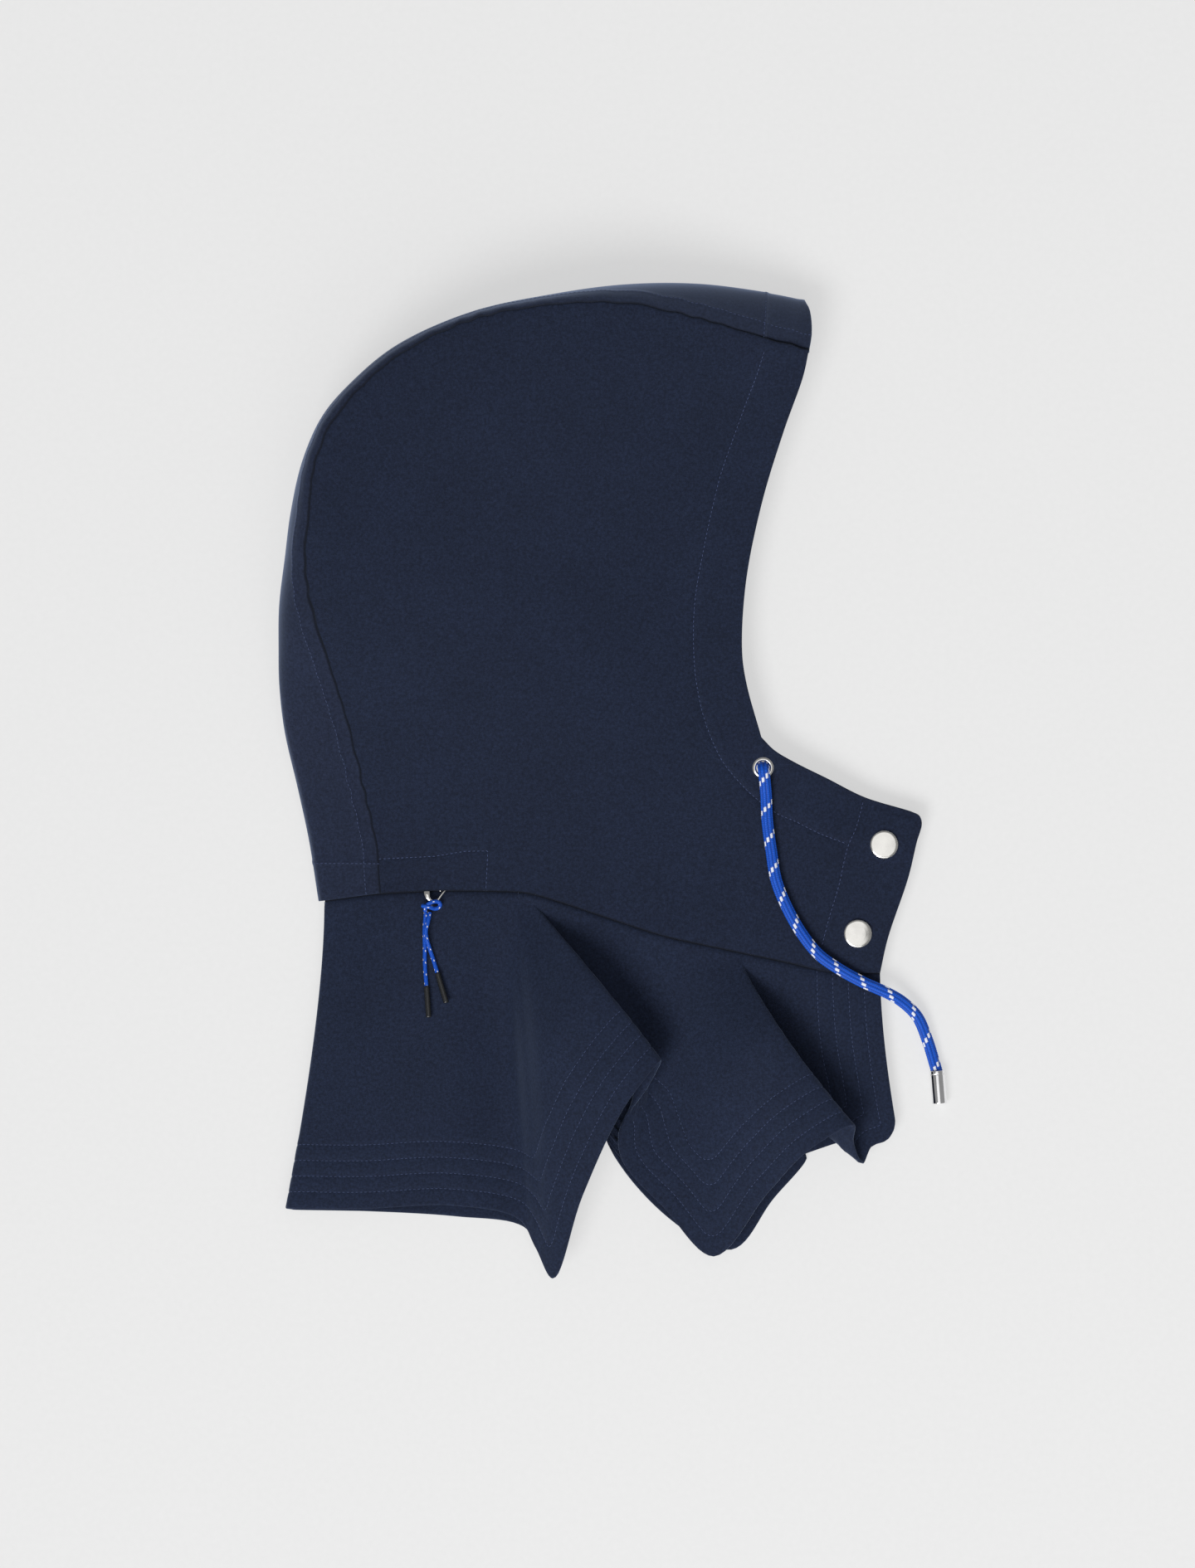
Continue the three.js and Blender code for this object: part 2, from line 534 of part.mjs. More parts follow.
// The zip along the back of the neck, between the hood's edge and the skirt's.
function zipStrip() {
  const columns = 14;
  const points = Array.from({ length: columns }, (_, i) => {
    const edge = neckAt(WIDTH * THREE.MathUtils.lerp(ZIP.from, ZIP.to, i / (columns - 1)));
    const z = edge.z - (CLOTH + NECK_GAP + ZIP.thickness) / 2;
    return [0, ZIP.width].map((across) => new THREE.Vector3(edge.x, edge.y + ZIP.inset + across, z));
  }).flat();
  return wall(points, gridTriangles(columns, 2), true, ZIP.thickness);
}

// The slider's body lies in a notch of the zip, and its wire bail reaches out from under the hood's edge.
// The block with room to spare is the notch, which goes right through the zip.
const sliderEdge = neckAt(SLIDER.x * WIDTH);
const sliderHeight = sliderEdge.z - (CLOTH + NECK_GAP + ZIP.thickness) / 2;

function sliderBlock(spare) {
  const depth = spare ? 2 * ZIP.thickness : SLIDER.thickness;
  const size = [SLIDER.width + 2 * spare, SLIDER.length + 2 * spare, depth];
  const y = sliderEdge.y + ZIP.inset + SLIDER.length / 2;
  return new THREE.BoxGeometry(...size).translate(sliderEdge.x, y, sliderHeight);
}

function zipSlider() {
  const from = sliderEdge.y + ZIP.inset + 1;
  const to = sliderEdge.y - BAIL.reach;
  const corner = (side, width, y) => new THREE.Vector3(sliderEdge.x + (side * width) / 2, y, sliderHeight);
  const bend = [
    corner(-1, BAIL.top, from),
    corner(-1, BAIL.bottom, to),
    corner(1, BAIL.bottom, to),
    corner(1, BAIL.top, from),
  ];
  const wire = tube(new THREE.CatmullRomCurve3(bend, false, "centripetal"), BAIL.wire, 16, 8);
  return geometryOf(solidOf(sliderBlock(0)).add(solidOf(wire)));
}

// Cords
function tube(curve, diameter, steps, sides) {
  const section = new THREE.Shape();
  for (let i = 0; i < sides; i++) {
    const turn = (2 * Math.PI * i) / sides;
    const corner = [(diameter / 2) * Math.cos(turn), (diameter / 2) * Math.sin(turn)];
    if (i) section.lineTo(...corner);
    else section.moveTo(...corner);
  }
  return new THREE.ExtrudeGeometry(section, { steps, extrudePath: curve, bevelEnabled: false });
}

function route(points) {
  return new THREE.CatmullRomCurve3(points.map((p) => new THREE.Vector3(...p)), false, "centripetal");
}

// A turned piece that goes on from the end of a cord, along its last direction.
function onEnd(curve, profile) {
  const end = curve.getPoint(1);
  const along = curve.getTangent(1);
  const turn = new THREE.Quaternion().setFromUnitVectors(new THREE.Vector3(0, 0, 1), along);
  return turned(profile, 16).applyQuaternion(turn).translate(...end.toArray());
}

// A rounded rod of a diameter that starts a gap beyond the cord's end.
function rod(diameter, length, edge) {
  const radius = diameter / 2;
  return [
    [0, GAP],
    [radius - edge, GAP],
    [radius, GAP + edge],
    [radius, GAP + length - edge],
    [radius - edge, GAP + length],
    [0, GAP + length],
  ];
}

// Materials
const cloth = new THREE.MeshStandardMaterial({ color: 0x222a3c, roughness: 0.85, metalness: 0 });
const nickel = new THREE.MeshStandardMaterial({ color: 0xd8d6d0, roughness: 0.25, metalness: 1 });
const cordBlue = new THREE.MeshStandardMaterial({ color: 0x1c3fc4, roughness: 0.7, metalness: 0 });
const blackPlastic = new THREE.MeshStandardMaterial({ color: 0x23262b, roughness: 0.6, metalness: 0 });
const zipTape = new THREE.MeshStandardMaterial({ color: 0x1b2130, roughness: 0.8, metalness: 0 });

const part = new THREE.Group();
const hood = new THREE.Group();
hood.position.set(-WIDTH / 2, -(HOOD_HEIGHT - SKIRT_DEPTH) / 2, 0);
part.add(hood);

function add(group, name, geometry, material) {
  const mesh = new THREE.Mesh(geometry, material);
  mesh.name = name;
  group.add(mesh);
  return mesh;
}

const right = add(hood, "hood_side_right", panelWall(UPPER_RINGS, rightHeight), cloth);
const left = add(hood, "hood_side_left", panelWall(LOWER_RINGS, (p) => leftHeight(p.x, p.y)), cloth);
add(hood, "hood_gusset", gussetWall(), cloth);
add(hood, "neck_skirt", skirtWall(), cloth);

// Each snap and eyelet goes through a hole that leaves its post or barrel a gap all round.
function fit(panel, name, { x, y }, shape, reach, bore) {
  const seat = seatOn(panel, x, y, reach);
  add(hood, name, seated(shape(seat), seat), nickel);
  return { seat, diameter: bore + 2 * GAP };
}

function drill(panel, holes) {
  for (const { seat, diameter } of holes) panel.geometry = drilled(panel.geometry, seat, diameter);
}

const barrel = EYELET.hole + 2 * EYELET.wall;
drill(right, [
  ...SNAPS.map((at) => fit(right, `snap_cap_${at.name}`, at, snapCap, SNAP.diameter / 2, SNAP.post)),
  fit(right, "eyelet_right", EYELET_AT, eyelet, EYELET.outer / 2, barrel),
]);
drill(left, [
  ...SNAPS.map((at) => fit(left, `snap_stud_${at.name}`, at, snapStud, STUD.diameter / 2, STUD.post)),
  fit(left, "eyelet_left", EYELET_AT, eyelet, EYELET.outer / 2, barrel),
]);

add(hood, "neck_zip", geometryOf(solidOf(zipStrip()).subtract(solidOf(sliderBlock(GAP)))), zipTape);
add(hood, "zip_slider", zipSlider(), nickel);

const drawcord = route(DRAWCORD_ROUTE);
add(part, "drawcord", tube(drawcord, CORD_DIAMETER, 30, 10), cordBlue);
add(part, "drawcord_end", onEnd(drawcord, rod(CORD_END.diameter, CORD_END.length, 0.8)), nickel);
const knot = new THREE.SphereGeometry(0.5, 14, 8);
knot.scale(PULL_KNOT.width, PULL_KNOT.length, PULL_KNOT.depth).translate(PULL_KNOT.x, PULL_KNOT.y, PULL_KNOT.z);
add(part, "zip_pull_knot", knot, cordBlue);
for (const side of ["left", "right"]) {
  const tail = route(PULL_ROUTES[side]);
  add(part, `zip_cord_${side}`, tube(tail, PULL_CORD_DIAMETER, 9, 8), cordBlue);
  add(part, `zip_tip_${side}`, onEnd(tail, rod(PULL_TIP.diameter, PULL_TIP.length, 0.5)), blackPlastic);
}

export default part;
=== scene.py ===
"""Looks of a detachable hood of navy softshell that lies folded on its side, seen from straight above.

Lengths in this script are millimetres in the CAD frame until a mesh is made, which is in metres.
"""

import math

import bpy
import numpy as np
from mathutils.geometry import delaunay_2d_cdt
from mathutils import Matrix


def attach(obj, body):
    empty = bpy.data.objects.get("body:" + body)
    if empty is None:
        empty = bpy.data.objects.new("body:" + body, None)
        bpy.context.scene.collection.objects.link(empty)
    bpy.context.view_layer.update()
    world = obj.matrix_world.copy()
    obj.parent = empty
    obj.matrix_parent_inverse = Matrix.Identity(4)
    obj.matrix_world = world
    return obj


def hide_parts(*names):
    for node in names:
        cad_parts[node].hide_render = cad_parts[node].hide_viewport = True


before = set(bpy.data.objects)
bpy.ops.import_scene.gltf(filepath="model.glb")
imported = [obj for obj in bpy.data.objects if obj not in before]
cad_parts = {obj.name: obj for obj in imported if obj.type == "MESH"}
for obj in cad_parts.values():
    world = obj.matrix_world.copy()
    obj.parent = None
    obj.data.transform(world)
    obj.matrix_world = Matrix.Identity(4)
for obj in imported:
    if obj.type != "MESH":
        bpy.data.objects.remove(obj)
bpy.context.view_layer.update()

MM = 0.001
BODY = "root"

# Sizes that the CAD model uses too
WIDTH = 348
HOOD_HEIGHT = 332
SKIRT_DEPTH = 207
LOFT = 56
CLOTH = 1.2
ORIGIN = np.array([-WIDTH / 2, -(HOOD_HEIGHT - SKIRT_DEPTH) / 2, 0])
SEAM_GAP = 0.45
SEAM_PUCKER = 0.5
RIM_REACH = 7
NECK_GAP = 0.6
LAYER = CLOTH + 1
NECK_TUCK = 4
NECK_LIP = 2
ZIP_THICKNESS = 2.2
TAB_LIFT = 2.9
SNAP_DIAMETER = 15.4
EYELET_OUTER = 11.8
EYELET_HOLE = 7.2
CORD_WIDTH = 6.5
CORD_DEPTH = 4.7
CORD_END_DIAMETER = 8.2
CORD_END_LENGTH = 17.8
PULL_CORD_DIAMETER = 2.2
PULL_TIP_DIAMETER = 3.1
PULL_TIP_LENGTH = 17
END_GAP = 0.3

# The photograph's size in pixels, the millimetres that a pixel covers, and the pixel over the origin
PHOTO = (1440, 1890)
PIXEL = 0.45
PHOTO_ORIGIN = (724, 941.5)

# Tables of shares of the sizes above, as in the CAD model but for a few points of the folds
CROWN_SEAM = [
    # x, y, fold x, fold y, height
    (0.156, 0.005, 0.062, -0.008, 0.2),
    (0.15, 0.084, 0.047, 0.092, 0.21),
    (0.133, 0.164, 0.03, 0.175, 0.25),
    (0.105, 0.285, 0.009, 0.271, 0.38),
    (0.081, 0.365, 0.001, 0.345, 0.52),
    (0.062, 0.425, 0, 0.404, 0.65),
    (0.045, 0.49, 0.001, 0.475, 0.78),
    (0.039, 0.56, 0.01, 0.554, 0.87),
    (0.045, 0.619, 0.019, 0.627, 0.92),
    (0.054, 0.702, 0.037, 0.71, 0.96),
    (0.081, 0.772, 0.068, 0.783, 0.98),
    (0.124, 0.828, 0.114, 0.839, 0.99),
    (0.191, 0.887, 0.183, 0.898, 0.99),
    (0.303, 0.942, 0.298, 0.952, 0.98),
    (0.426, 0.966, 0.424, 0.981, 0.95),
    (0.538, 0.968, 0.538, 0.997, 0.89),
    (0.65, 0.944, 0.653, 0.998, 0.79),
    (0.762, 0.91, 0.766, 0.983, 0.66),
    (0.824, 0.893, 0.821, 0.972, 0.56),
]
FACE_EDGE = [
    # x, y, height
    (0.824, 0.893, 0.56),
    (0.815, 0.849, 0.52),
    (0.785, 0.76, 0.46),
    (0.751, 0.643, 0.4),
    (0.726, 0.513, 0.36),
    (0.72, 0.4, 0.33),
    (0.727, 0.347, 0.31),
    (0.75, 0.26, 0.28),
]
TAB_EDGE = [
    (0.75, 0.26, 0.28),
    (0.77, 0.239, 0.27),
    (0.802, 0.219, 0.25),
    (0.852, 0.193, 0.23),
    (0.911, 0.162, 0.19),
    (0.985, 0.138, 0.19),
    (0.996, 0.132, 0.19),
    (1, 0.119, 0.19),
    (0.992, 0.088, 0.19),
    (0.979, 0.031, 0.19),
    (0.947, -0.069, 0.18),
    (0.935, -0.125, 0.18),
]
NECK_SEAM = [
    (0.935, -0.125, 0.18),
    (0.87, -0.125, 0.2),
    (0.798, -0.109, 0.23),
    (0.734, -0.095, 0.25),
    (0.657, -0.078, 0.26),
    (0.598, -0.064, 0.26),
    (0.494, -0.029, 0.25),
    (0.437, -0.009, 0.25),
    (0.384, 0.006, 0.24),
    (0.322, 0.009, 0.23),
    (0.226, 0.009, 0.22),
    (0.156, 0.005, 0.2),
]
PANEL_MIDDLE = (0.469, 0.244)
BLEND = 2.6
RIGHT_FOLDS = [
    # neck x, middle x, y and z, hem x, y and z
    (0.083, 0.067, 0.36, 0.17, 0.02, 0.817, 0.16),
    (0.15, 0.145, 0.41, 0.18, 0.13, 0.818, 0.17),
    (0.27, 0.26, 0.412, 0.18, 0.27, 0.81, 0.17),
    (0.345, 0.356, 0.43, 0.14, 0.372, 0.845, 0.14),
    (0.358, 0.386, 0.47, 0.37, 0.399, 0.92, 0.22),
    (0.365, 0.41, 0.455, 0.59, 0.426, 1, 0.34),
    (0.37, 0.44, 0.4, 0.7, 0.471, 0.785, 0.58),
    (0.375, 0.475, 0.3, 0.72, 0.535, 0.555, 0.74),
    (0.382, 0.496, 0.222, 0.66, 0.593, 0.43, 0.68),
    (0.395, 0.497, 0.3, 0.47, 0.5735, 0.498, 0.44),
    (0.415, 0.555, 0.38, 0.27, 0.529, 0.613, 0.25),
    (0.46, 0.572, 0.42, 0.17, 0.535, 0.697, 0.16),
    (0.52, 0.595, 0.465, 0.17, 0.598, 0.815, 0.16),
    (0.6, 0.635, 0.5, 0.26, 0.676, 0.943, 0.18),
    (0.66, 0.7, 0.47, 0.44, 0.76, 0.776, 0.38),
    (0.69, 0.745, 0.42, 0.56, 0.825, 0.662, 0.56),
    (0.71, 0.787, 0.37, 0.54, 0.893, 0.6, 0.55),
    (0.722, 0.77, 0.4, 0.36, 0.893, 0.645, 0.38),
    (0.735, 0.765, 0.43, 0.17, 0.908, 0.7, 0.23),
    (0.785, 0.84, 0.43, 0.15, 0.922, 0.655, 0.15),
    (0.86, 0.9, 0.42, 0.15, 0.942, 0.642, 0.14),
    (0.935, 0.943, 0.4, 0.15, 0.962, 0.618, 0.14),
]
LEFT_FOLDS = [
    # the same, with layers above the surface in place of z
    (0.925, 0.934, 0.4, 0, 0.953, 0.6, 0),
    (0.86, 0.89, 0.41, 0, 0.925, 0.62, 0),
    (0.79, 0.83, 0.43, 1.2, 0.87, 0.645, 1.2),
    (0.745, 0.745, 0.45, 2.3, 0.775, 0.7, 2.5),
    (0.735, 0.752, 0.43, 1.4, 0.79, 0.69, 1.5),
    (0.725, 0.768, 0.4, 0.6, 0.82, 0.685, 0.7),
    (0.7, 0.73, 0.44, 0, 0.765, 0.8, 0),
    (0.64, 0.67, 0.47, 0, 0.704, 0.925, 0),
    (0.53, 0.57, 0.47, 1, 0.6, 0.835, 0.8),
    (0.44, 0.46, 0.38, 2.3, 0.5115, 0.635, 2.5),
    (0.425, 0.468, 0.33, 1.4, 0.532, 0.54, 1.5),
    (0.415, 0.484, 0.28, 0.6, 0.562, 0.47, 0.7),
    (0.4, 0.455, 0.37, 0, 0.49, 0.69, 0),
    (0.385, 0.41, 0.45, 0, 0.414, 0.94, 0),
    (0.36, 0.365, 0.43, 0, 0.38, 0.865, 0),
    (0.27, 0.26, 0.42, 0, 0.275, 0.838, 0),
    (0.15, 0.145, 0.415, 0, 0.13, 0.824, 0),
    (0.083, 0.067, 0.36, 0, 0.02, 0.82, 0),
]
BACK_FOLD = (0.071, 0.0555, 0.36, 0.11, 0.011, 0.818, 0.11)
SNAPS = {"upper": (0.941, 0.0845), "lower": (0.9, -0.061)}
EYELET_AT = (0.7525, 0.21)
DRAWCORD_ROUTE = [
    (88.2, 6.2, 20.2),
    (88.8, 0.5, 20.1),
    (89.5, -7.7, 19.1),
    (90.2, -21.8, 18.8),
    (92.3, -37.6, 18.4),
    (95, -53.6, 18.1),
    (100.5, -67.7, 17.7),
    (108.4, -81.9, 17.2),
    (117.9, -93.8, 16.6),
    (128.9, -101.7, 15.8),
    (141.5, -108.7, 14.1),
    (149.4, -112.2, 12.9),
    (155.6, -115, 11.7),
    (163.6, -119.8, 8.8),
    (171.5, -127.7, 6.8),
    (177, -140.4, 5.1),
    (180.9, -153, 4.2),
    (182.3, -158, 4.15),
]
PULL_ROUTES = {
    "left": [
        (-94.9, -71.2, 11),
        (-95.5, -80, 11.1),
        (-95.4, -89.3, 11.3),
        (-95.3, -100, 11.75),
        (-94.5, -110.9, 12.35),
    ],
    "right": [
        (-92.6, -71.2, 11.6),
        (-93.6, -76, 13),
        (-94.8, -81.5, 13.3),
        (-94.2, -86, 13.1),
        (-92.7, -91, 11.9),
        (-90.9, -96.5, 11.8),
        (-88.7, -103.7, 12.3),
    ],
}

# Stitch lines, measured in the photograph in pixels
CASING_STITCH = [
    (920.6, 424), (911, 454), (901, 480), (883.7, 528), (868.6, 571.5), (857.7, 615), (847, 667),
    (838, 719), (835.5, 755), (836, 788), (838, 814.7), (845.4, 855.4), (856.5, 888.7), (871, 918),
    (882.4, 933), (906, 958), (935, 980), (958, 990), (986, 1004), (1018.5, 1016.6),
]
PLACKET_STITCH = [(1040, 966), (1031.5, 997), (1021, 1022), (1010.5, 1067.5), (1000, 1102.5), (990, 1140)]
PATCH_STITCH = [(450, 1035.6), (468, 1034.8), (523.5, 1032), (560.5, 1026), (588, 1025.6), (585.6, 1071.8)]
CORNER = 7.5  # radius of the skirt's front corners
HEM_ROWS = [9, 17.5, 26, 34.6]  # distances of the stitch rows from the skirt's hem and front edges
GUSSET_STITCH = 7.6  # distance of the gusset's topstitching from its seams
CASING_DEPTH = 26  # depth of the casing along the face opening
PATCH_DEPTH = 16.5  # height of the stitched patch over the zip
STITCH_DIP = 0.32  # how deep the stitches pull the panels and the gusset in
HEM_EXTRA = 0.25  # how much thicker each face of the skirt is within its hem


# Curves and distances
def from_photo(points):
    """Points in the CAD frame's X and Y from pixels of the photograph."""
    return (np.array(points, float) - PHOTO_ORIGIN) * (PIXEL, -PIXEL)


def spline(points, t):
    """The centripetal Catmull-Rom curve through points, at each parameter t from 0 to 1."""
    points = np.asarray(points, float)
    last = len(points) - 1
    u = np.clip(np.asarray(t, float) * last, 0, last)
    i = np.minimum(u.astype(int), last - 1)
    w = (u - i)[:, None]
    padded = np.vstack([2 * points[0] - points[1], points, 2 * points[-1] - points[-2]])
    p0, p1, p2, p3 = (padded[i + k] for k in range(4))

    def knot(a, b):
        return np.maximum(np.sum((b - a) ** 2, axis=1, keepdims=True) ** 0.25, 1e-4)

    d0, d1, d2 = knot(p0, p1), knot(p1, p2), knot(p2, p3)
    m1 = ((p1 - p0) / d0 - (p2 - p0) / (d0 + d1) + (p2 - p1) / d1) * d1
    m2 = ((p2 - p1) / d1 - (p3 - p1) / (d1 + d2) + (p3 - p2) / d2) * d1
    return p1 + m1 * w + (3 * (p2 - p1) - 2 * m1 - m2) * w**2 + (2 * (p1 - p2) + m1 + m2) * w**3


def lengths(line):
    """How far along the line each of its points is."""
    steps = np.linalg.norm(np.diff(line, axis=0), axis=1)
    return np.concatenate([[0], np.cumsum(steps)])


def interpolated(wanted, known, rows):
    """The rows' columns at the wanted values, from those at the known ones."""
    return np.column_stack([np.interp(wanted, known, column) for column in rows.T])


def at_lengths(line, wanted):
    return interpolated(wanted, lengths(line), line)


def even(line, step):
    """The same line with its points an even distance apart."""
    total = lengths(line)[-1]
    return at_lengths(line, np.linspace(0, total, max(2, round(total / step) + 1)))


def smooth_line(points, step):
    return even(spline(points, np.linspace(0, 1, 40 * len(points))), step)


def to_segments(points, line):
    """Squared distance from each point to each segment of a line, and how far along the segment that is."""
    way = np.diff(line, axis=0)
    size = np.maximum(np.sum(way**2, axis=1), 1e-12)
    offset = points[:, None] - line[:-1]
    t = np.clip(np.sum(offset * way, axis=2) / size, 0, 1)
    return np.sum((offset - t[..., None] * way) ** 2, axis=2), t * np.sqrt(size)


def nearest(points, line):
    """Distance in the plane from each point to a line, and how far along the line it is."""
    line = line[:, :2]
    along = lengths(line)
    away, where = [], []
    for chunk in np.array_split(points[:, :2], max(1, len(points) * len(line) // 2000000)):
        gap, on = to_segments(chunk, line)
        best = np.argmin(gap, axis=1)
        row = np.arange(len(chunk))
        away.append(np.sqrt(gap[row, best]))
        where.append(along[best] + on[row, best])
    return np.concatenate(away), np.concatenate(where)


def smooth(low, high, value):
    t = np.clip((np.asarray(value, float) - low) / (high - low), 0, 1)
    return t * t * (3 - 2 * t)


def dip(distance, reach):
    return np.exp(-((distance / reach) ** 2))


def uneven_wave(along, length, phase):
    """A wave along a seam whose length and height wander."""
    turn = 2 * np.pi * along / length
    wander = np.sin(turn / 3.7 + phase) + 0.6 * np.sin(turn / 8.3 + 2 * phase)
    return np.sin(turn + 1.5 * wander) * (0.65 + 0.35 * np.sin(turn / 5.9 + 3 * phase))


# Meshes
def add_mesh(name, points, faces, material):
    mesh = bpy.data.meshes.new(name)
    mesh.from_pydata((np.asarray(points) * MM).tolist(), [], [list(map(int, f)) for f in faces])
    mesh.validate()
    mesh.materials.append(material)
    mesh.shade_smooth()
    piece = bpy.data.objects.new(name, mesh)
    bpy.context.scene.collection.objects.link(piece)
    return piece


def mark(piece, attribute, values):
    """Stores a number at each of the piece's vertices for its material."""
    data = piece.data.attributes.new(attribute, "FLOAT", "POINT")
    data.data.foreach_set("value", np.asarray(values, np.float32))


def vertex_normals(points, triangles):
    a, b, c = (points[triangles[:, k]] for k in range(3))
    face = np.cross(b - a, c - a)
    normals = np.zeros_like(points)
    for k in range(3):
        np.add.at(normals, triangles[:, k], face)
    return normals / np.maximum(np.linalg.norm(normals, axis=1, keepdims=True), 1e-12)


def skin(points, triangles, half):
    """A closed wall round a middle surface. half is half its thickness at each point."""
    normals = vertex_normals(points, triangles)
    count = len(points)
    corners = np.vstack([points + normals * half[:, None], points - normals * half[:, None]])
    edges = np.vstack([triangles[:, [0, 1]], triangles[:, [1, 2]], triangles[:, [2, 0]]])
    keys = edges[:, 0] * count + edges[:, 1]
    back = edges[:, 1] * count + edges[:, 0]
    rim = edges[~np.isin(keys, back)]
    a, b = rim[:, 0], rim[:, 1]
    faces = np.vstack([
        triangles,
        triangles[:, ::-1] + count,
        np.column_stack([a, a + count, b + count]),
        np.column_stack([a, b + count, b]),
    ])
    return corners, faces


def grid_triangles(rows, columns):
    """Triangles of a grid that is stored row by row."""
    i, j = np.meshgrid(np.arange(rows - 1), np.arange(columns - 1), indexing="ij")
    at = (i * columns + j).ravel()
    return np.vstack([
        np.column_stack([at, at + columns, at + columns + 1]),
        np.column_stack([at, at + columns + 1, at + 1]),
    ])


def edge_half(distance, half, rounding):
    """Half the cloth's thickness near an edge, which is rounded over."""
    inside = np.clip(distance / rounding, 0, 1)
    return half * np.sqrt(np.maximum(1 - (1 - inside) ** 2, 0.03))


def place(rows):
    """Points in the CAD frame from rows of shares that start with x and y and end with the height."""
    rows = np.array(rows, float)
    x, y, height = rows[:, 0], rows[:, 1], rows[:, -1]
    return np.column_stack([x * WIDTH, y * HOOD_HEIGHT, CLOTH / 2 + height * LOFT]) + ORIGIN


def middle_point(shares):
    """A point in the plane from its shares of the width and the hood's height."""
    return np.array([shares[0] * WIDTH, shares[1] * HOOD_HEIGHT]) + ORIGIN[:2]


# Materials
def new_material(name):
    material = bpy.data.materials.new(name)
    material.use_nodes = True
    nodes, links = material.node_tree.nodes, material.node_tree.links
    nodes.clear()
    shader = nodes.new("ShaderNodeBsdfPrincipled")
    output = nodes.new("ShaderNodeOutputMaterial")
    links.new(shader.outputs["BSDF"], output.inputs["Surface"])
    return material, nodes, links, shader


def set_inputs(node, values):
    for name, value in values.items():
        node.inputs[name].default_value = value


def mapped_noise(nodes, links, scale, stretch=(1, 1, 1), detail=2, roughness=0.5):
    """Noise in the object's own coordinates. scale is features per metre."""
    place_at = nodes.new("ShaderNodeTexCoord")
    mapping = nodes.new("ShaderNodeMapping")
    noise = nodes.new("ShaderNodeTexNoise")
    set_inputs(mapping, {"Scale": stretch})
    set_inputs(noise, {"Scale": scale, "Detail": detail, "Roughness": roughness})
    links.new(place_at.outputs["Object"], mapping.inputs["Vector"])
    links.new(mapping.outputs["Vector"], noise.inputs["Vector"])
    return noise.outputs["Fac"]


def attribute(nodes, name):
    """A number that the mesh stores at its vertices."""
    node = nodes.new("ShaderNodeAttribute")
    node.attribute_name = name
    return node.outputs["Fac"]


def ramp(nodes, links, source, *stops):
    """A colour from two stops, each a position and a colour."""
    made = nodes.new("ShaderNodeValToRGB")
    for element, (position, colour) in zip(made.color_ramp.elements, stops):
        element.position = position
        element.color = (*colour, 1)
    links.new(source, made.inputs["Fac"])
    return made.outputs["Color"]


def mixed(nodes, links, first, second, share):
    """The colour first, turned into the colour second as far as share says."""
    mix = nodes.new("ShaderNodeMix")
    mix.data_type = "RGBA"
    links.new(share, mix.inputs["Factor"])
    links.new(first, mix.inputs["A"])
    mix.inputs["B"].default_value = (*second, 1)
    return mix.outputs["Result"]


def multiplied(nodes, links, first, second):
    """The product of two colours."""
    mix = nodes.new("ShaderNodeMix")
    mix.data_type = "RGBA"
    mix.blend_type = "MULTIPLY"
    mix.inputs["Factor"].default_value = 1
    links.new(first, mix.inputs["A"])
    links.new(second, mix.inputs["B"])
    return mix.outputs["Result"]


def average(nodes, links, first, second):
    total = nodes.new("ShaderNodeMath")
    total.operation = "ADD"
    links.new(first, total.inputs[0])
    links.new(second, total.inputs[1])
    half = nodes.new("ShaderNodeMath")
    half.operation = "MULTIPLY"
    links.new(total.outputs["Value"], half.inputs[0])
    half.inputs[1].default_value = 0.5
    return half.outputs["Value"]


def roughened(nodes, links, shader, source, low, high):
    """Roughness that goes from low to high with the source."""
    rough = nodes.new("ShaderNodeMapRange")
    set_inputs(rough, {"To Min": low, "To Max": high})
    links.new(source, rough.inputs["Value"])
    links.new(rough.outputs["Result"], shader.inputs["Roughness"])


def bumped(nodes, links, shader, height, strength, distance):
    bump = nodes.new("ShaderNodeBump")
    set_inputs(bump, {"Strength": strength, "Distance": distance})
    links.new(height, bump.inputs["Height"])
    links.new(bump.outputs["Normal"], shader.inputs["Normal"])


def grey(value):
    return (value, value, value)


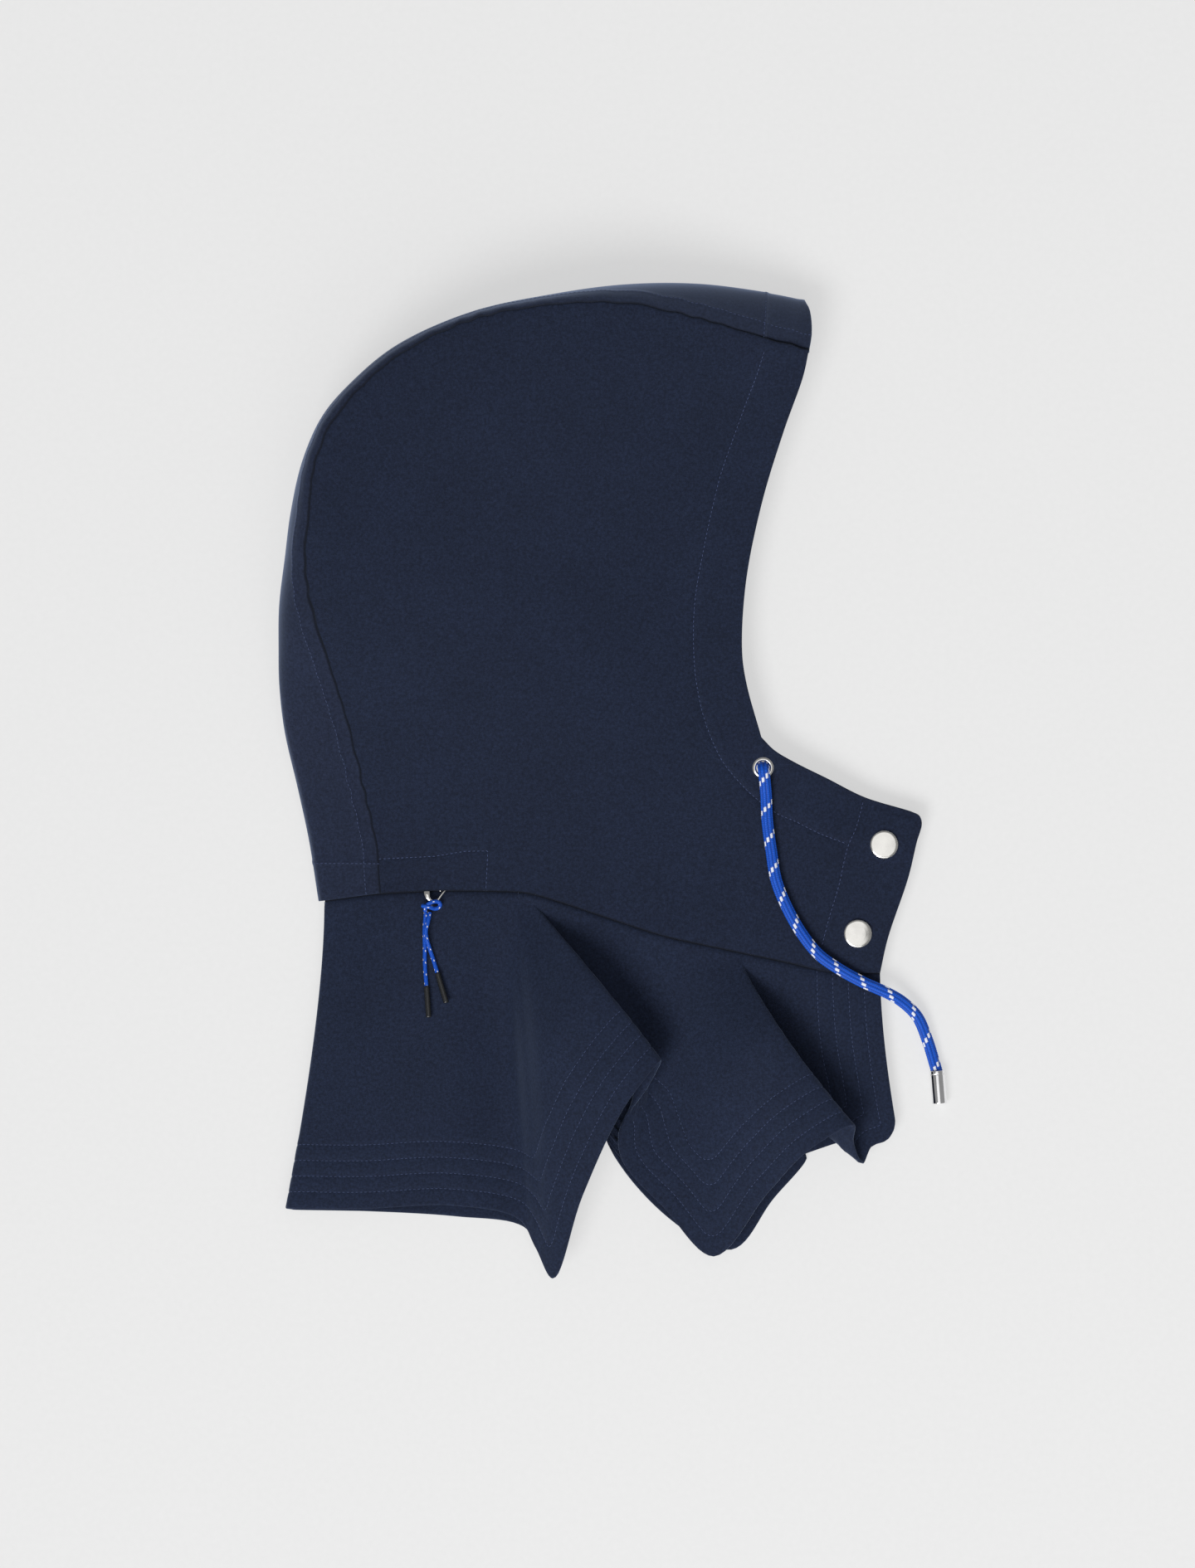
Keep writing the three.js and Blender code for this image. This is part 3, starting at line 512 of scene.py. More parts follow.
def cloth_material(name, dark, light, sheen, sheen_roughness=0.45):
    """Softshell: two crossing sets of slubby yarns with a soft sheen, with painted shade where the mesh's
    seam attribute marks a seam's groove.

    sheen is a number, or the name of the mesh's attribute that holds it.
    """
    material, nodes, links, shader = new_material(name)
    warp = mapped_noise(nodes, links, 1700, (1, 0.4, 0.7), 2, 0.6)
    weft = mapped_noise(nodes, links, 1700, (0.4, 1, 0.7), 2, 0.6)
    cloudy = mapped_noise(nodes, links, 28, detail=3)
    grain = mapped_noise(nodes, links, 620)
    yarns = average(nodes, links, warp, weft)
    colour = ramp(nodes, links, yarns, (0.36, dark), (0.64, light))
    wear = ramp(nodes, links, cloudy, (0.3, grey(0.93)), (0.7, grey(1.07)))
    fleece = ramp(nodes, links, grain, (0.34, (0.78, 0.78, 0.8)), (0.66, (1.24, 1.22, 1.2)))
    colour = multiplied(nodes, links, multiplied(nodes, links, colour, wear), fleece)
    # Painted shade: the colour darkens to a fifth of the dark yarn's where the seam attribute marks a seam's
    # groove
    colour = mixed(nodes, links, colour, tuple(c * 0.2 for c in dark), attribute(nodes, "seam"))
    links.new(colour, shader.inputs["Base Color"])
    roughened(nodes, links, shader, yarns, 0.72, 0.92)
    set_inputs(shader, {"Specular IOR Level": 0.18, "Sheen Roughness": sheen_roughness})
    set_inputs(shader, {"Sheen Tint": (0.52, 0.66, 1, 1)})
    if isinstance(sheen, str):
        links.new(attribute(nodes, sheen), shader.inputs["Sheen Weight"])
    else:
        set_inputs(shader, {"Sheen Weight": sheen})
    bumped(nodes, links, shader, yarns, 0.45, 0.00025)
    return material


def thread_material(name, colour):
    material, nodes, links, shader = new_material(name)
    twist = mapped_noise(nodes, links, 1800, (1, 0.4, 1))
    shade = tuple(c * 0.7 for c in colour)
    links.new(ramp(nodes, links, twist, (0.3, shade), (0.7, colour)), shader.inputs["Base Color"])
    set_inputs(shader, {"Roughness": 0.55, "Specular IOR Level": 0.3})
    bumped(nodes, links, shader, twist, 0.3, 0.0001)
    return material


def metal_material(name, colour, roughness, brushed=(1, 1, 1), relief=0.06):
    material, nodes, links, shader = new_material(name)
    fine = mapped_noise(nodes, links, 2500, brushed, 3)
    stain = mapped_noise(nodes, links, 160, detail=3)
    shade = tuple(c * 0.9 for c in colour)
    links.new(ramp(nodes, links, stain, (0.35, shade), (0.6, colour)), shader.inputs["Base Color"])
    set_inputs(shader, {"Metallic": 1})
    roughened(nodes, links, shader, stain, roughness * 0.7, roughness * 1.4)
    bumped(nodes, links, shader, fine, relief, 0.00004)
    return material


def braid_material(name):
    """Braided cord, blue with the white tracer yarns that the mesh marks in its fleck attribute, and painted
    shade in the grooves between its strands.
    """
    material, nodes, links, shader = new_material(name)
    fibre = mapped_noise(nodes, links, 2400, (1, 0.5, 1))
    blue = ramp(nodes, links, fibre, (0.3, (0.006, 0.075, 0.48)), (0.7, (0.011, 0.125, 0.74)))
    # Painted shade: darker blue in the grooves between the strands
    blue = mixed(nodes, links, blue, (0.004, 0.05, 0.33), attribute(nodes, "groove_shade"))
    colour = mixed(nodes, links, blue, (0.82, 0.85, 0.92), attribute(nodes, "fleck"))
    links.new(colour, shader.inputs["Base Color"])
    set_inputs(shader, {"Roughness": 0.48, "Specular IOR Level": 0.22})
    set_inputs(shader, {"Sheen Weight": 0.06, "Sheen Tint": (0.3, 0.5, 1, 1)})
    bumped(nodes, links, shader, fibre, 0.3, 0.00008)
    return material


def plastic_material(name):
    material, nodes, links, shader = new_material(name)
    grain = mapped_noise(nodes, links, 1400, detail=4)
    colour = ramp(nodes, links, grain, (0.3, (0.008, 0.009, 0.01)), (0.75, (0.018, 0.019, 0.021)))
    links.new(colour, shader.inputs["Base Color"])
    set_inputs(shader, {"Roughness": 0.27})
    bumped(nodes, links, shader, grain, 0.15, 0.00005)
    return material


def light_table_material(name):
    """A pale table top that is lit from below too, so that shadows on it stay faint."""
    material, nodes, links, shader = new_material(name)
    grain = mapped_noise(nodes, links, 300, detail=4)
    colour = ramp(nodes, links, grain, (0.3, grey(0.245)), (0.7, grey(0.26)))
    links.new(colour, shader.inputs["Base Color"])
    set_inputs(shader, {"Roughness": 1, "Specular IOR Level": 0})
    set_inputs(shader, {"Emission Color": (1, 1, 1, 1), "Emission Strength": 0.58})
    return material


navy = cloth_material("navy_softshell", (0.0058, 0.0103, 0.0255), (0.0124, 0.0195, 0.046), 0.28)
# The skirt's cloth: the same softshell with colours a little lighter, as painted light on the lower part of
# the piece
navy_skirt_painted_light = cloth_material("navy_softshell_skirt_painted_light", (0.0062, 0.011, 0.027), (0.0134, 0.021, 0.049), 0.3)
# The left panel's cloth: the same softshell with darker colours and less sheen, as painted shade where it
# lies underneath
navy_painted_shade = cloth_material("navy_softshell_painted_shade", (0.0054, 0.009, 0.0225), (0.0118, 0.0172, 0.041), 0.2)
# The gusset's cloth: the same softshell with lighter colours, as painted light on its steep sides, and a
# sheen that the nap attribute sets
GUSSET_DARK, GUSSET_LIGHT = (0.0068, 0.0112, 0.027), (0.0148, 0.0215, 0.049)
navy_gusset_painted_light = cloth_material("navy_softshell_gusset_painted_light", GUSSET_DARK, GUSSET_LIGHT, "nap", 0.5)
blue_thread = thread_material("blue_thread", (0.08, 0.112, 0.25))
navy_thread = thread_material("navy_thread", (0.06, 0.086, 0.19))
nickel = metal_material("polished_nickel", (0.86, 0.845, 0.81), 0.13)
nickel_plain = metal_material("plain_nickel", (0.7, 0.69, 0.66), 0.3)
steel = metal_material("turned_steel", (0.92, 0.92, 0.93), 0.07, (1, 0.05, 1), 0.015)
braid = braid_material("blue_braid")
black = plastic_material("black_tip")
tape = cloth_material("zip_tape", (0.009, 0.012, 0.022), (0.018, 0.022, 0.038), 0.05)

# Camera with the photograph's frame, straight above and so high that its view is nearly parallel
CAMERA_HEIGHT = 20
camera_data = bpy.data.cameras.new("camera")
camera = bpy.data.objects.new("camera", camera_data)
bpy.context.scene.collection.objects.link(camera)
bpy.context.scene.camera = camera
middle_of_photo = from_photo([(PHOTO[0] / 2, PHOTO[1] / 2)])[0] * MM
camera_data.lens = camera_data.sensor_width * CAMERA_HEIGHT / (PHOTO[1] * PIXEL * MM)
camera_data.clip_end = 2 * CAMERA_HEIGHT
camera.location = (middle_of_photo[0], middle_of_photo[1], CAMERA_HEIGHT)


# Cords
BRAID_STEP = 0.3


def frames(line, side):
    """Along, across and upward directions at each point of a line, carried on from side without twist."""
    along = np.gradient(line, axis=0)
    along /= np.linalg.norm(along, axis=1, keepdims=True)
    across = np.empty_like(along)
    now = np.array(side, float)
    for i, way in enumerate(along):
        now = now - now @ way * way
        now /= np.linalg.norm(now)
        across[i] = now
    return along, across, np.cross(across, along)


def ring_points(line, side, wide, deep, turn):
    """Points round a line at the angles in turn. wide and deep are the half sizes across and upwards."""
    _, across, up = frames(line, side)
    to_side = across[:, None] * (wide * np.cos(turn))[..., None]
    return line[:, None] + to_side + up[:, None] * (deep * np.sin(turn))[..., None]


def ring_faces(rings, sides, ends=True):
    """Faces between neighbouring rings of points, with or without a face at each end."""
    i, j = np.meshgrid(np.arange(rings - 1), np.arange(sides), indexing="ij")
    a, b = (i * sides + j).ravel(), (i * sides + (j + 1) % sides).ravel()
    faces = np.column_stack([a, b, b + sides, a + sides]).tolist()
    if ends:
        faces += [list(range(sides))[::-1], list(range((rings - 1) * sides, rings * sides))]
    return faces


def braided_tube(name, line, side, width, depth, chevron, lead, every, fleck_length, relief):
    """A braided cord along a line: eight columns of chevrons with white flecks that climb round it.

    lead is how far the flecks climb in one turn, and every is how many columns apart they are.
    """
    columns, points_each = 8, 8
    centre = even(line, BRAID_STEP)
    sides = columns * points_each
    turn = np.linspace(0, 2 * np.pi, sides, endpoint=False)
    s = lengths(centre)[:, None]
    column = (turn / (2 * np.pi) * columns)[None]
    part = column % 1
    bulge = 1 - (2 * part - 1) ** 2
    vee = 0.5 + 0.5 * np.cos(2 * np.pi * (s / chevron + 0.8 * np.abs(part - 0.5)))
    rise = relief * (0.75 * bulge + 0.45 * vee * bulge)
    row = np.floor(column)
    shift = (s - (row + 0.4 * part) * lead / columns) % abs(lead)
    shift = np.minimum(shift, abs(lead) - shift)
    marked = (shift < fleck_length / 2) & (part > 0.2) & (part < 0.8) & (row % every == 0)
    points = ring_points(centre, side, width / 2 - relief + rise, depth / 2 - relief + rise, turn)
    rings = len(centre)
    faces = ring_faces(rings, sides, ends=False)
    for first, tip, way in ((0, rings * sides, -1), ((rings - 1) * sides, rings * sides + 1, 1)):
        for k in range(sides):
            pair = [first + k, first + (k + 1) % sides]
            faces.append([*pair[::way], tip])
    corners = np.vstack([points.reshape(-1, 3), centre[0], centre[-1]])
    piece = add_mesh(name, corners, faces, braid)
    # Painted shade in the grooves between the braid's columns and chevrons
    groove_shade = np.clip(1 - bulge + 0.35 * (1 - vee), 0, 1) ** 1.5
    for kind, values in (("fleck", marked), ("groove_shade", groove_shade)):
        mark(piece, kind, np.concatenate([values.ravel(), [0, 0]]))
    return piece, centre


def turned(name, profile, origin, axis, material, segments):
    """A turned piece from its profile of (radius, height) pairs, going up along axis from origin."""
    axis = np.array(axis, float) / np.linalg.norm(axis)
    side = np.cross(axis, (0, 1, 0) if abs(axis[1]) < 0.9 else (1, 0, 0))
    side /= np.linalg.norm(side)
    other = np.cross(axis, side)
    turn = np.linspace(0, 2 * np.pi, segments, endpoint=False)
    circle = np.outer(np.cos(turn), side) + np.outer(np.sin(turn), other)
    points = np.vstack([np.array(origin) + radius * circle + height * axis for radius, height in profile])
    closed = profile[0] == profile[-1]
    faces = ring_faces(len(profile), segments, ends=not closed)
    if closed:
        final = (len(profile) - 1) * segments
        points = points[:final]
        faces = [[v - final if v >= final else v for v in face] for face in faces]
    return add_mesh(name, points, faces, material)


def rounded_profile(points, radius):
    """A profile with its inner corners rounded off by short arcs."""
    made = [points[0]]
    for before, corner, after in zip(points, points[1:], points[2:]):
        corner, before, after = (np.array(p, float) for p in (corner, before, after))
        reach_in = min(radius, np.linalg.norm(before - corner) / 2)
        reach_out = min(radius, np.linalg.norm(after - corner) / 2)
        start = corner + (before - corner) / np.linalg.norm(before - corner) * reach_in
        stop = corner + (after - corner) / np.linalg.norm(after - corner) * reach_out
        for t in np.linspace(0, 1, 5):
            made.append(tuple((1 - t) ** 2 * start + 2 * t * (1 - t) * corner + t * t * stop))
    made.append(points[-1])
    return made


def ride(piece, slot, *nodes):
    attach(piece, BODY)
    if nodes:
        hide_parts(*nodes)
    return piece


# The cord comes up through the eyelet before it lies down on the panel
EYELET_RISE = [(87.9, 8.2, 12.4), (87.9, 8.3, 15.4), (87.95, 8, 18.2)]
drawcord_line = smooth_line(EYELET_RISE + DRAWCORD_ROUTE, BRAID_STEP)
drawcord, drawcord_line = braided_tube(
    "drawcord_braid", drawcord_line, (-1, 0, 0), CORD_WIDTH, CORD_DEPTH, 1.2, -16.4, 1, 2.5, 0.34
)
ride(drawcord, "cord", "drawcord")
radius = CORD_END_DIAMETER / 2
cord_end_profile = rounded_profile(
    [
        (0.4, END_GAP + 2.2),
        (3.8, END_GAP + 2.2),
        (3.8, END_GAP),
        (radius, END_GAP),
        (radius, END_GAP + 1.6),
        (radius - 0.25, END_GAP + 1.9),
        (radius, END_GAP + 2.2),
        (radius, END_GAP + CORD_END_LENGTH),
        (radius - 1.2, END_GAP + CORD_END_LENGTH),
        (radius - 1.5, END_GAP + CORD_END_LENGTH - 0.4),
        (0.4, END_GAP + CORD_END_LENGTH - 0.4),
    ],
    0.45,
)
CORD_END_WAY = np.array([0.08, -1, 0])
CORD_END_OVERLAP = 1.1
cord_end_start = drawcord_line[-1] - CORD_END_OVERLAP * CORD_END_WAY
cord_end = turned("cord_end", cord_end_profile, cord_end_start, CORD_END_WAY, steel, 96)
ride(cord_end, "nickel", "drawcord_end")


def pull_tube(name, points, side):
    line = smooth_line(points, BRAID_STEP)
    return braided_tube(name, line, side, PULL_CORD_DIAMETER, PULL_CORD_DIAMETER, 0.9, 6.4, 2, 0.85, 0.1)


radius = PULL_TIP_DIAMETER / 2
tip_profile = rounded_profile(
    [
        (0.2, END_GAP),
        (radius * 0.88, END_GAP),
        (radius, END_GAP + 0.7),
        (radius, END_GAP + PULL_TIP_LENGTH - 0.5),
        (radius * 0.8, END_GAP + PULL_TIP_LENGTH),
        (0.2, END_GAP + PULL_TIP_LENGTH),
    ],
    0.4,
)
for side, points in PULL_ROUTES.items():
    tail, line = pull_tube(f"pull_cord_{side}", points, (-1, 0, 0))
    ride(tail, "cord", f"zip_cord_{side}")
    tip = turned(f"pull_tip_{side}", tip_profile, line[-1], line[-1] - line[-2], black, 48)
    ride(tip, "black_plastic", f"zip_tip_{side}")

# The pull's knot: the doubled cord loops through the bail and round itself
KNOT_ROUTE = [
    (-95.2, -70.6, 11.6),
    (-95.0, -68.6, 12.7),
    (-93.4, -66.6, 13.9),
    (-90.8, -65.4, 13.9),
    (-88.2, -65.4, 13.4),
    (-87, -67, 12.9),
    (-88.2, -68.8, 12.7),
    (-90.4, -69.1, 12.9),
    (-92.6, -68.4, 14.1),
    (-95.0, -67.9, 14.2),
    (-96.8, -67.6, 13.0),
]
knot, _ = pull_tube("pull_knot", KNOT_ROUTE, (1, 0, 0))
ride(knot, "cord", "zip_pull_knot")


# The zip's slider: its body under the hood's edge, and a pressed bail with one broad leg and one of wire
def tapered_tube(name, line, widths, depths, side):
    """A tube along a line. Its widths and depths are spread evenly from one end to the other."""
    share = np.linspace(0, 1, len(line))
    wide, deep = (np.interp(share, np.linspace(0, 1, len(v)), v)[:, None] / 2 for v in (widths, depths))
    turn = np.linspace(0, 2 * np.pi, 16, endpoint=False)
    points = ring_points(line, side, wide, deep, turn)
    return add_mesh(name, points.reshape(-1, 3), ring_faces(len(line), len(turn)), nickel)


SLIDER_BODY = [(-93.9, -55.2, 11.0), (-84.1, -55.2, 11.0)]
LEGS_MEET = (-90.4, -65.4, 12.6)
BROAD_LEG = [(-94.2, -57, 11.6), (-94.3, -59.4, 12.4), (-94.1, -61.8, 13), (-93, -64, 13), LEGS_MEET]
WIRE_LEG = [LEGS_MEET, (-88.4, -64.4, 13.1), (-86.4, -61.8, 13), (-84.4, -59, 12.4), (-83.6, -57, 11.7)]
PIN = [(-87.6, -57.6, 12.1), (-87.1, -59.2, 12.5), (-86.9, -60.0, 12.5)]
SLIDER_PIECES = {
    # name: route, widths and depths along it, and the direction that its width starts in
    "slider_body": (SLIDER_BODY, (2.2, 5.6, 6, 6, 5.6, 2.2), (1.6, 1.8, 1.8, 1.6), (0, 1, 0)),
    "bail_broad_leg": (BROAD_LEG, (3.4, 3.4, 2.8, 1.8, 1.2), (0.9, 1, 1.1), (-1, 0, 0)),
    "bail_wire_leg": (WIRE_LEG, (1.2, 1.1, 1.1), (1.1, 1.1), (0, 1, 0)),
    "bail_pin": (PIN, (0.8, 1.2, 1.5, 0.6), (0.8, 1.2, 1.5, 0.6), (-1, 0, 0)),
}
for name, (route, widths, depths, side) in SLIDER_PIECES.items():
    piece = tapered_tube(name, smooth_line(route, BRAID_STEP), widths, depths, side)
    ride(piece, "nickel", "zip_slider")


# The side panels
panel_middle = middle_point(PANEL_MIDDLE)


def puckered(seam, gap):
    """The crown seam, moved inwards by gap and by the small puckers that its stitches pull."""
    inwards = panel_middle - seam[:, :2]
    inwards /= np.linalg.norm(inwards, axis=1, keepdims=True)
    wander = gap + SEAM_PUCKER * uneven_wave(lengths(seam), 17, 1.3)
    return np.column_stack([seam[:, :2] + inwards * wander[:, None], seam[:, 2]])


def rim_line(gap, step):
    """A side panel's rim once round, in the four sections crown, face, tab and neck."""
    crown = smooth_line(place(CROWN_SEAM), step)
    crown = puckered(crown, gap)
    return [crown, *(smooth_line(place(rows), step) for rows in (FACE_EDGE, TAB_EDGE, NECK_SEAM))]


panel_rim = rim_line(SEAM_GAP, 1.2)
coarse_rim = np.vstack([section[:-1] for section in rim_line(0.9, 9)])
coarse_weights = np.linalg.norm(np.roll(coarse_rim, -1, axis=0) - coarse_rim, axis=1)
casing_line = smooth_line(from_photo(CASING_STITCH), 1)
placket_line = smooth_line(from_photo(PLACKET_STITCH), 1)
patch_line = even(from_photo(PATCH_STITCH), 1)
crown_rim, face_rim, tab_rim, neck_rim = panel_rim
whole_rim = np.vstack([*panel_rim, crown_rim[:1]])


def blended_height(points):
    """The right panel's height: a blend of its rim's heights, the nearest ones most."""
    heights = []
    for chunk in np.array_split(points[:, :2], max(1, len(points) // 8000)):
        away = np.linalg.norm(chunk[:, None] - coarse_rim[None, :, :2], axis=2)
        weights = coarse_weights / np.maximum(away, 0.05) ** BLEND
        heights.append(np.sum(weights * coarse_rim[:, 2], axis=1) / np.sum(weights, axis=1))
    # Close to the rim the height is the rim's own
    to_rim, along_rim = nearest(points, whole_rim)
    rim_height = np.interp(along_rim, lengths(whole_rim), whole_rim[:, 2])
    share = np.exp(-((to_rim / RIM_REACH) ** 2))
    return rim_height * share + np.concatenate(heights) * (1 - share)


def right_height(points):
    """The right panel's middle surface with its seams, casing, stitch lines and soft waves."""
    x, y = points[:, 0], points[:, 1]
    to_crown, along_crown = nearest(points, crown_rim)
    to_face, _ = nearest(points, np.vstack([face_rim, tab_rim]))
    to_neck, along_neck = nearest(points, neck_rim)
    to_casing, along_casing = nearest(points, casing_line)
    to_placket, _ = nearest(points, placket_line)
    to_patch, along_patch = nearest(points, patch_line)
    z = blended_height(points)
    swell = np.sin(x / 31 + y / 47 + 0.8) * np.sin(y / 39 - x / 83)
    z += 0.7 * swell * smooth(0, 60, to_crown) * smooth(0, 40, to_face)
    z -= 0.3 * dip(to_crown, 0.55)
    z += 0.3 * uneven_wave(along_crown, 11, 0.4) * np.exp(-to_crown / 6) * smooth(0, 2, to_crown)
    z += 0.4 * (1 - smooth(CASING_DEPTH - 3, CASING_DEPTH + 1, to_face)) * smooth(1, 6, to_face)
    z -= STITCH_DIP * (dip(to_casing, 0.9) + dip(to_placket, 0.9) + dip(to_patch, 0.9))
    z += 0.12 * uneven_wave(along_casing, 8, 1.1) * np.exp(-to_casing / 6)
    z += 0.1 * uneven_wave(along_patch, 9, 2.3) * np.exp(-to_patch / 5)
    z += 0.12 * uneven_wave(along_neck, 10, 0.9) * np.exp(-to_neck / 5)
    return z


def inside_rim(points, rim, gap):
    """The points inside a closed outline and at least gap away from it."""
    x, y = points[:, 0], points[:, 1]
    inside = np.zeros(len(points), bool)
    for (x0, y0), (x1, y1) in zip(rim[:, :2], np.roll(rim[:, :2], -1, axis=0)):
        if y0 == y1:
            continue
        crosses = (y0 > y) != (y1 > y)
        inside ^= crosses & (x < x0 + (y - y0) / (y1 - y0) * (x1 - x0))
    kept = points[inside]
    away, _ = nearest(kept, np.vstack([rim, rim[:1]]))
    return kept[away > gap]


def hexagonal(low, high, spacing):
    rows = np.arange(low[1], high[1], spacing * math.sqrt(3) / 2)
    columns = np.arange(low[0], high[0], spacing)
    x, y = np.meshgrid(columns, rows)
    x = x + (np.arange(len(rows)) % 2)[:, None] * spacing / 2
    return np.column_stack([x.ravel(), y.ravel()])


def beside(line, offsets):
    """Rows of points beside a line in the plane, at signed distances from it."""
    way = np.gradient(line[:, :2], axis=0)
    way /= np.linalg.norm(way, axis=1, keepdims=True)
    left = np.column_stack([-way[:, 1], way[:, 0]])
    return np.vstack([line[:, :2] + left * offset for offset in offsets])


def panel_points(sections, spacing, lines, rows, holes):
    """Triangulated points inside the rim: rows along it and the stitch lines, and an even net between."""
    rim = np.vstack([section[:-1] for section in sections])[:, :2]
    inner = np.vstack([beside(section, rows) for section in sections])
    fine = [beside(line, (-1.5, -0.8, -0.3, 0.3, 0.8, 1.5)) for line in lines]
    fine = np.vstack([inner, *fine]) if len(fine) else inner
    fine = inside_rim(fine, rim, 0.15)
    net = hexagonal(rim.min(axis=0), rim.max(axis=0), spacing)
    net = inside_rim(net, rim, max(map(abs, rows)) + spacing * 0.6)
    for line in lines:
        away, _ = nearest(net, line)
        net = net[away > 1.5 + spacing * 0.6]
    circles = []
    for centre, size in holes:
        turn = np.linspace(0, 2 * np.pi, 32, endpoint=False)
        circles.append(centre + size * np.column_stack([np.cos(turn), np.sin(turn)]))
        fine = fine[np.linalg.norm(fine - centre, axis=1) > size + 0.4]
        net = net[np.linalg.norm(net - centre, axis=1) > size + 0.7]
    points = np.vstack([rim, *circles, fine, net])
    edges = []
    start = len(rim)
    for circle in circles:
        edges += [(start + k, start + (k + 1) % len(circle)) for k in range(len(circle))]
        start += len(circle)
    corners, _, faces, *_ = delaunay_2d_cdt(points.tolist(), edges, [list(range(len(rim)))], 1, 1e-4)
    corners = np.array([tuple(corner) for corner in corners])
    triangles = np.array(faces)
    middles = corners[triangles].mean(axis=1)
    for centre, size in holes:
        triangles = triangles[np.linalg.norm(middles - centre, axis=1) > size]
        middles = corners[triangles].mean(axis=1)
    a, b, c = (corners[triangles[:, k]] for k in range(3))
    turning = (b[:, 0] - a[:, 0]) * (c[:, 1] - a[:, 1]) - (b[:, 1] - a[:, 1]) * (c[:, 0] - a[:, 0])
    triangles[turning < 0] = triangles[turning < 0][:, ::-1]
    return corners, triangles[np.abs(turning) > 1e-7]


eyelet_centre = middle_point(EYELET_AT)
panel_holes = [(eyelet_centre, EYELET_HOLE / 2 + 0.9)]
stitch_lines = [casing_line, placket_line, patch_line]
flat_points, right_triangles = panel_points(
    panel_rim, 1.7, stitch_lines, (0.25, 0.6, 1.2, -0.25, -0.6, -1.2), panel_holes
)
right_points = np.column_stack([flat_points, right_height(flat_points)])
to_rim, _ = nearest(right_points, whole_rim)
right_half = edge_half(to_rim + 0.08, CLOTH / 2, 0.5)
corners, faces = skin(right_points, right_triangles, right_half)
side_right = add_mesh("side_right_cloth", corners, faces, navy)
to_crown, _ = nearest(right_points, crown_rim)
to_neck, _ = nearest(right_points, neck_rim)
# Painted shade along the crown and neck seams, in the seam attribute that the cloth's colour darkens with
mark(side_right, "seam", np.tile(np.maximum(0.95 * dip(to_crown, 0.38), 0.9 * dip(to_neck, 0.4)), 2))
ride(side_right, "cloth", "hood_side_right")


def left_height(x, y):
    """The left panel's middle surface, which lies flat but for its tab."""
    forward = smooth(0.54, 0.64, (x - ORIGIN[0]) / WIDTH)
    return CLOTH / 2 + TAB_LIFT * forward * (1 - smooth(0.3, 0.42, (y - ORIGIN[1]) / HOOD_HEIGHT))


left_rim = rim_line(SEAM_GAP, 2.4)
flat_points, left_triangles = panel_points(left_rim, 3.2, [], (0.5, 1.4, -0.5, -1.4), panel_holes)
left_points = np.column_stack([flat_points, left_height(*flat_points.T)])
to_rim, _ = nearest(left_points, whole_rim)
corners, faces = skin(left_points, left_triangles, edge_half(to_rim + 0.15, CLOTH / 2, 0.9))
side_left = add_mesh("side_left_cloth", corners, faces, navy_painted_shade)
ride(side_left, "cloth", "hood_side_left")


# The gusset
BROW_BULGE = 1.9  # how far its front edge bulges out
BROW_CORNER = 1.2  # how far that edge's outer corner is rounded back
ALLOWANCE = 1.6


def refined(total, special, reach, step):
    """Positions from 0 to total, fine round each special one and a step apart elsewhere."""
    near = np.array([-1, -0.55, -0.2, 0.2, 0.55, 1]) * reach
    fine = np.sort(np.concatenate([s + near for s in special]))
    fine = fine[(fine >= 0) & (fine <= total)]
    stops = np.unique(np.concatenate([[0, total], fine]))
    made = []
    for low, high in zip(stops, stops[1:]):
        made += list(np.linspace(low, high, max(1, round((high - low) / step)), endpoint=False))
    return np.array([*made, total])


def gusset_points():
    """A grid over the gusset, how far its points are from its two seams, and its rows' places along them."""
    t = np.linspace(0, 1, 2400)
    seam = spline(place(CROWN_SEAM), t)
    folds = np.array([(row[2] * WIDTH, row[3] * HOOD_HEIGHT, 0) for row in CROWN_SEAM]) + ORIGIN
    fold = spline(folds, t)
    along = lengths(seam)
    seam = puckered(seam, 0)
    wanted = refined(along[-1], [PATCH_DEPTH, along[-1] - CASING_DEPTH], 1.5, 2.1)
    wanted = np.unique(np.concatenate([wanted, [0.4, 1, along[-1] - 0.4, along[-1] - 1]]))
    seam, fold = (interpolated(wanted, along, line) for line in (seam, fold))
    turn = np.linspace(0, np.pi, 241)
    sections = []
    across = []
    for top, out_to, to_brow in zip(seam, fold, along[-1] - wanted):
        out = out_to - top
        out[2] = 0
        half = (top[2] - CLOTH / 2) / 2
        width = np.linalg.norm(out)
        # A narrow strip stands up more squarely than a wide one
        share = np.sin(turn) ** (0.6 + 0.4 * smooth(5, 13, width))
        section = top + np.outer(share, out)
        section[:, 2] = CLOTH / 2 + half * (1 + np.cos(turn))
        bulge = BROW_BULGE * 4 * share * (1 - share) - BROW_CORNER * smooth(0.8, 1, share)
        section[:, 0] += bulge * np.exp(-to_brow / 9)
        # The seam allowance, turned in under the side panel
        inwards = -out / width * ALLOWANCE
        drop = np.array([0, 0, 2.2])
        section = np.vstack([section[0] + inwards - drop, section, section[-1] + inwards + drop])
        total = lengths(section)[-1]
        hidden = np.linalg.norm(section[1] - section[0])
        fixed = np.array([0, 0.3, 0.7, 1.3, 2.2, 3.6, 5.4, 6.4, 7.1, GUSSET_STITCH, 8.1, 8.8, 10.4])
        inner = np.linspace(12.5, total - 2 * hidden - 12.5, 15)
        outside = np.concatenate([fixed, inner, (total - 2 * hidden - fixed)[::-1]])
        at = np.concatenate([[0, hidden / 2], outside + hidden, [total - hidden / 2, total]])
        sections.append(at_lengths(section, at))
        at = at - hidden
        across.append(np.column_stack([at, total - 2 * hidden - at]))
    return np.array(sections), np.array(across), wanted


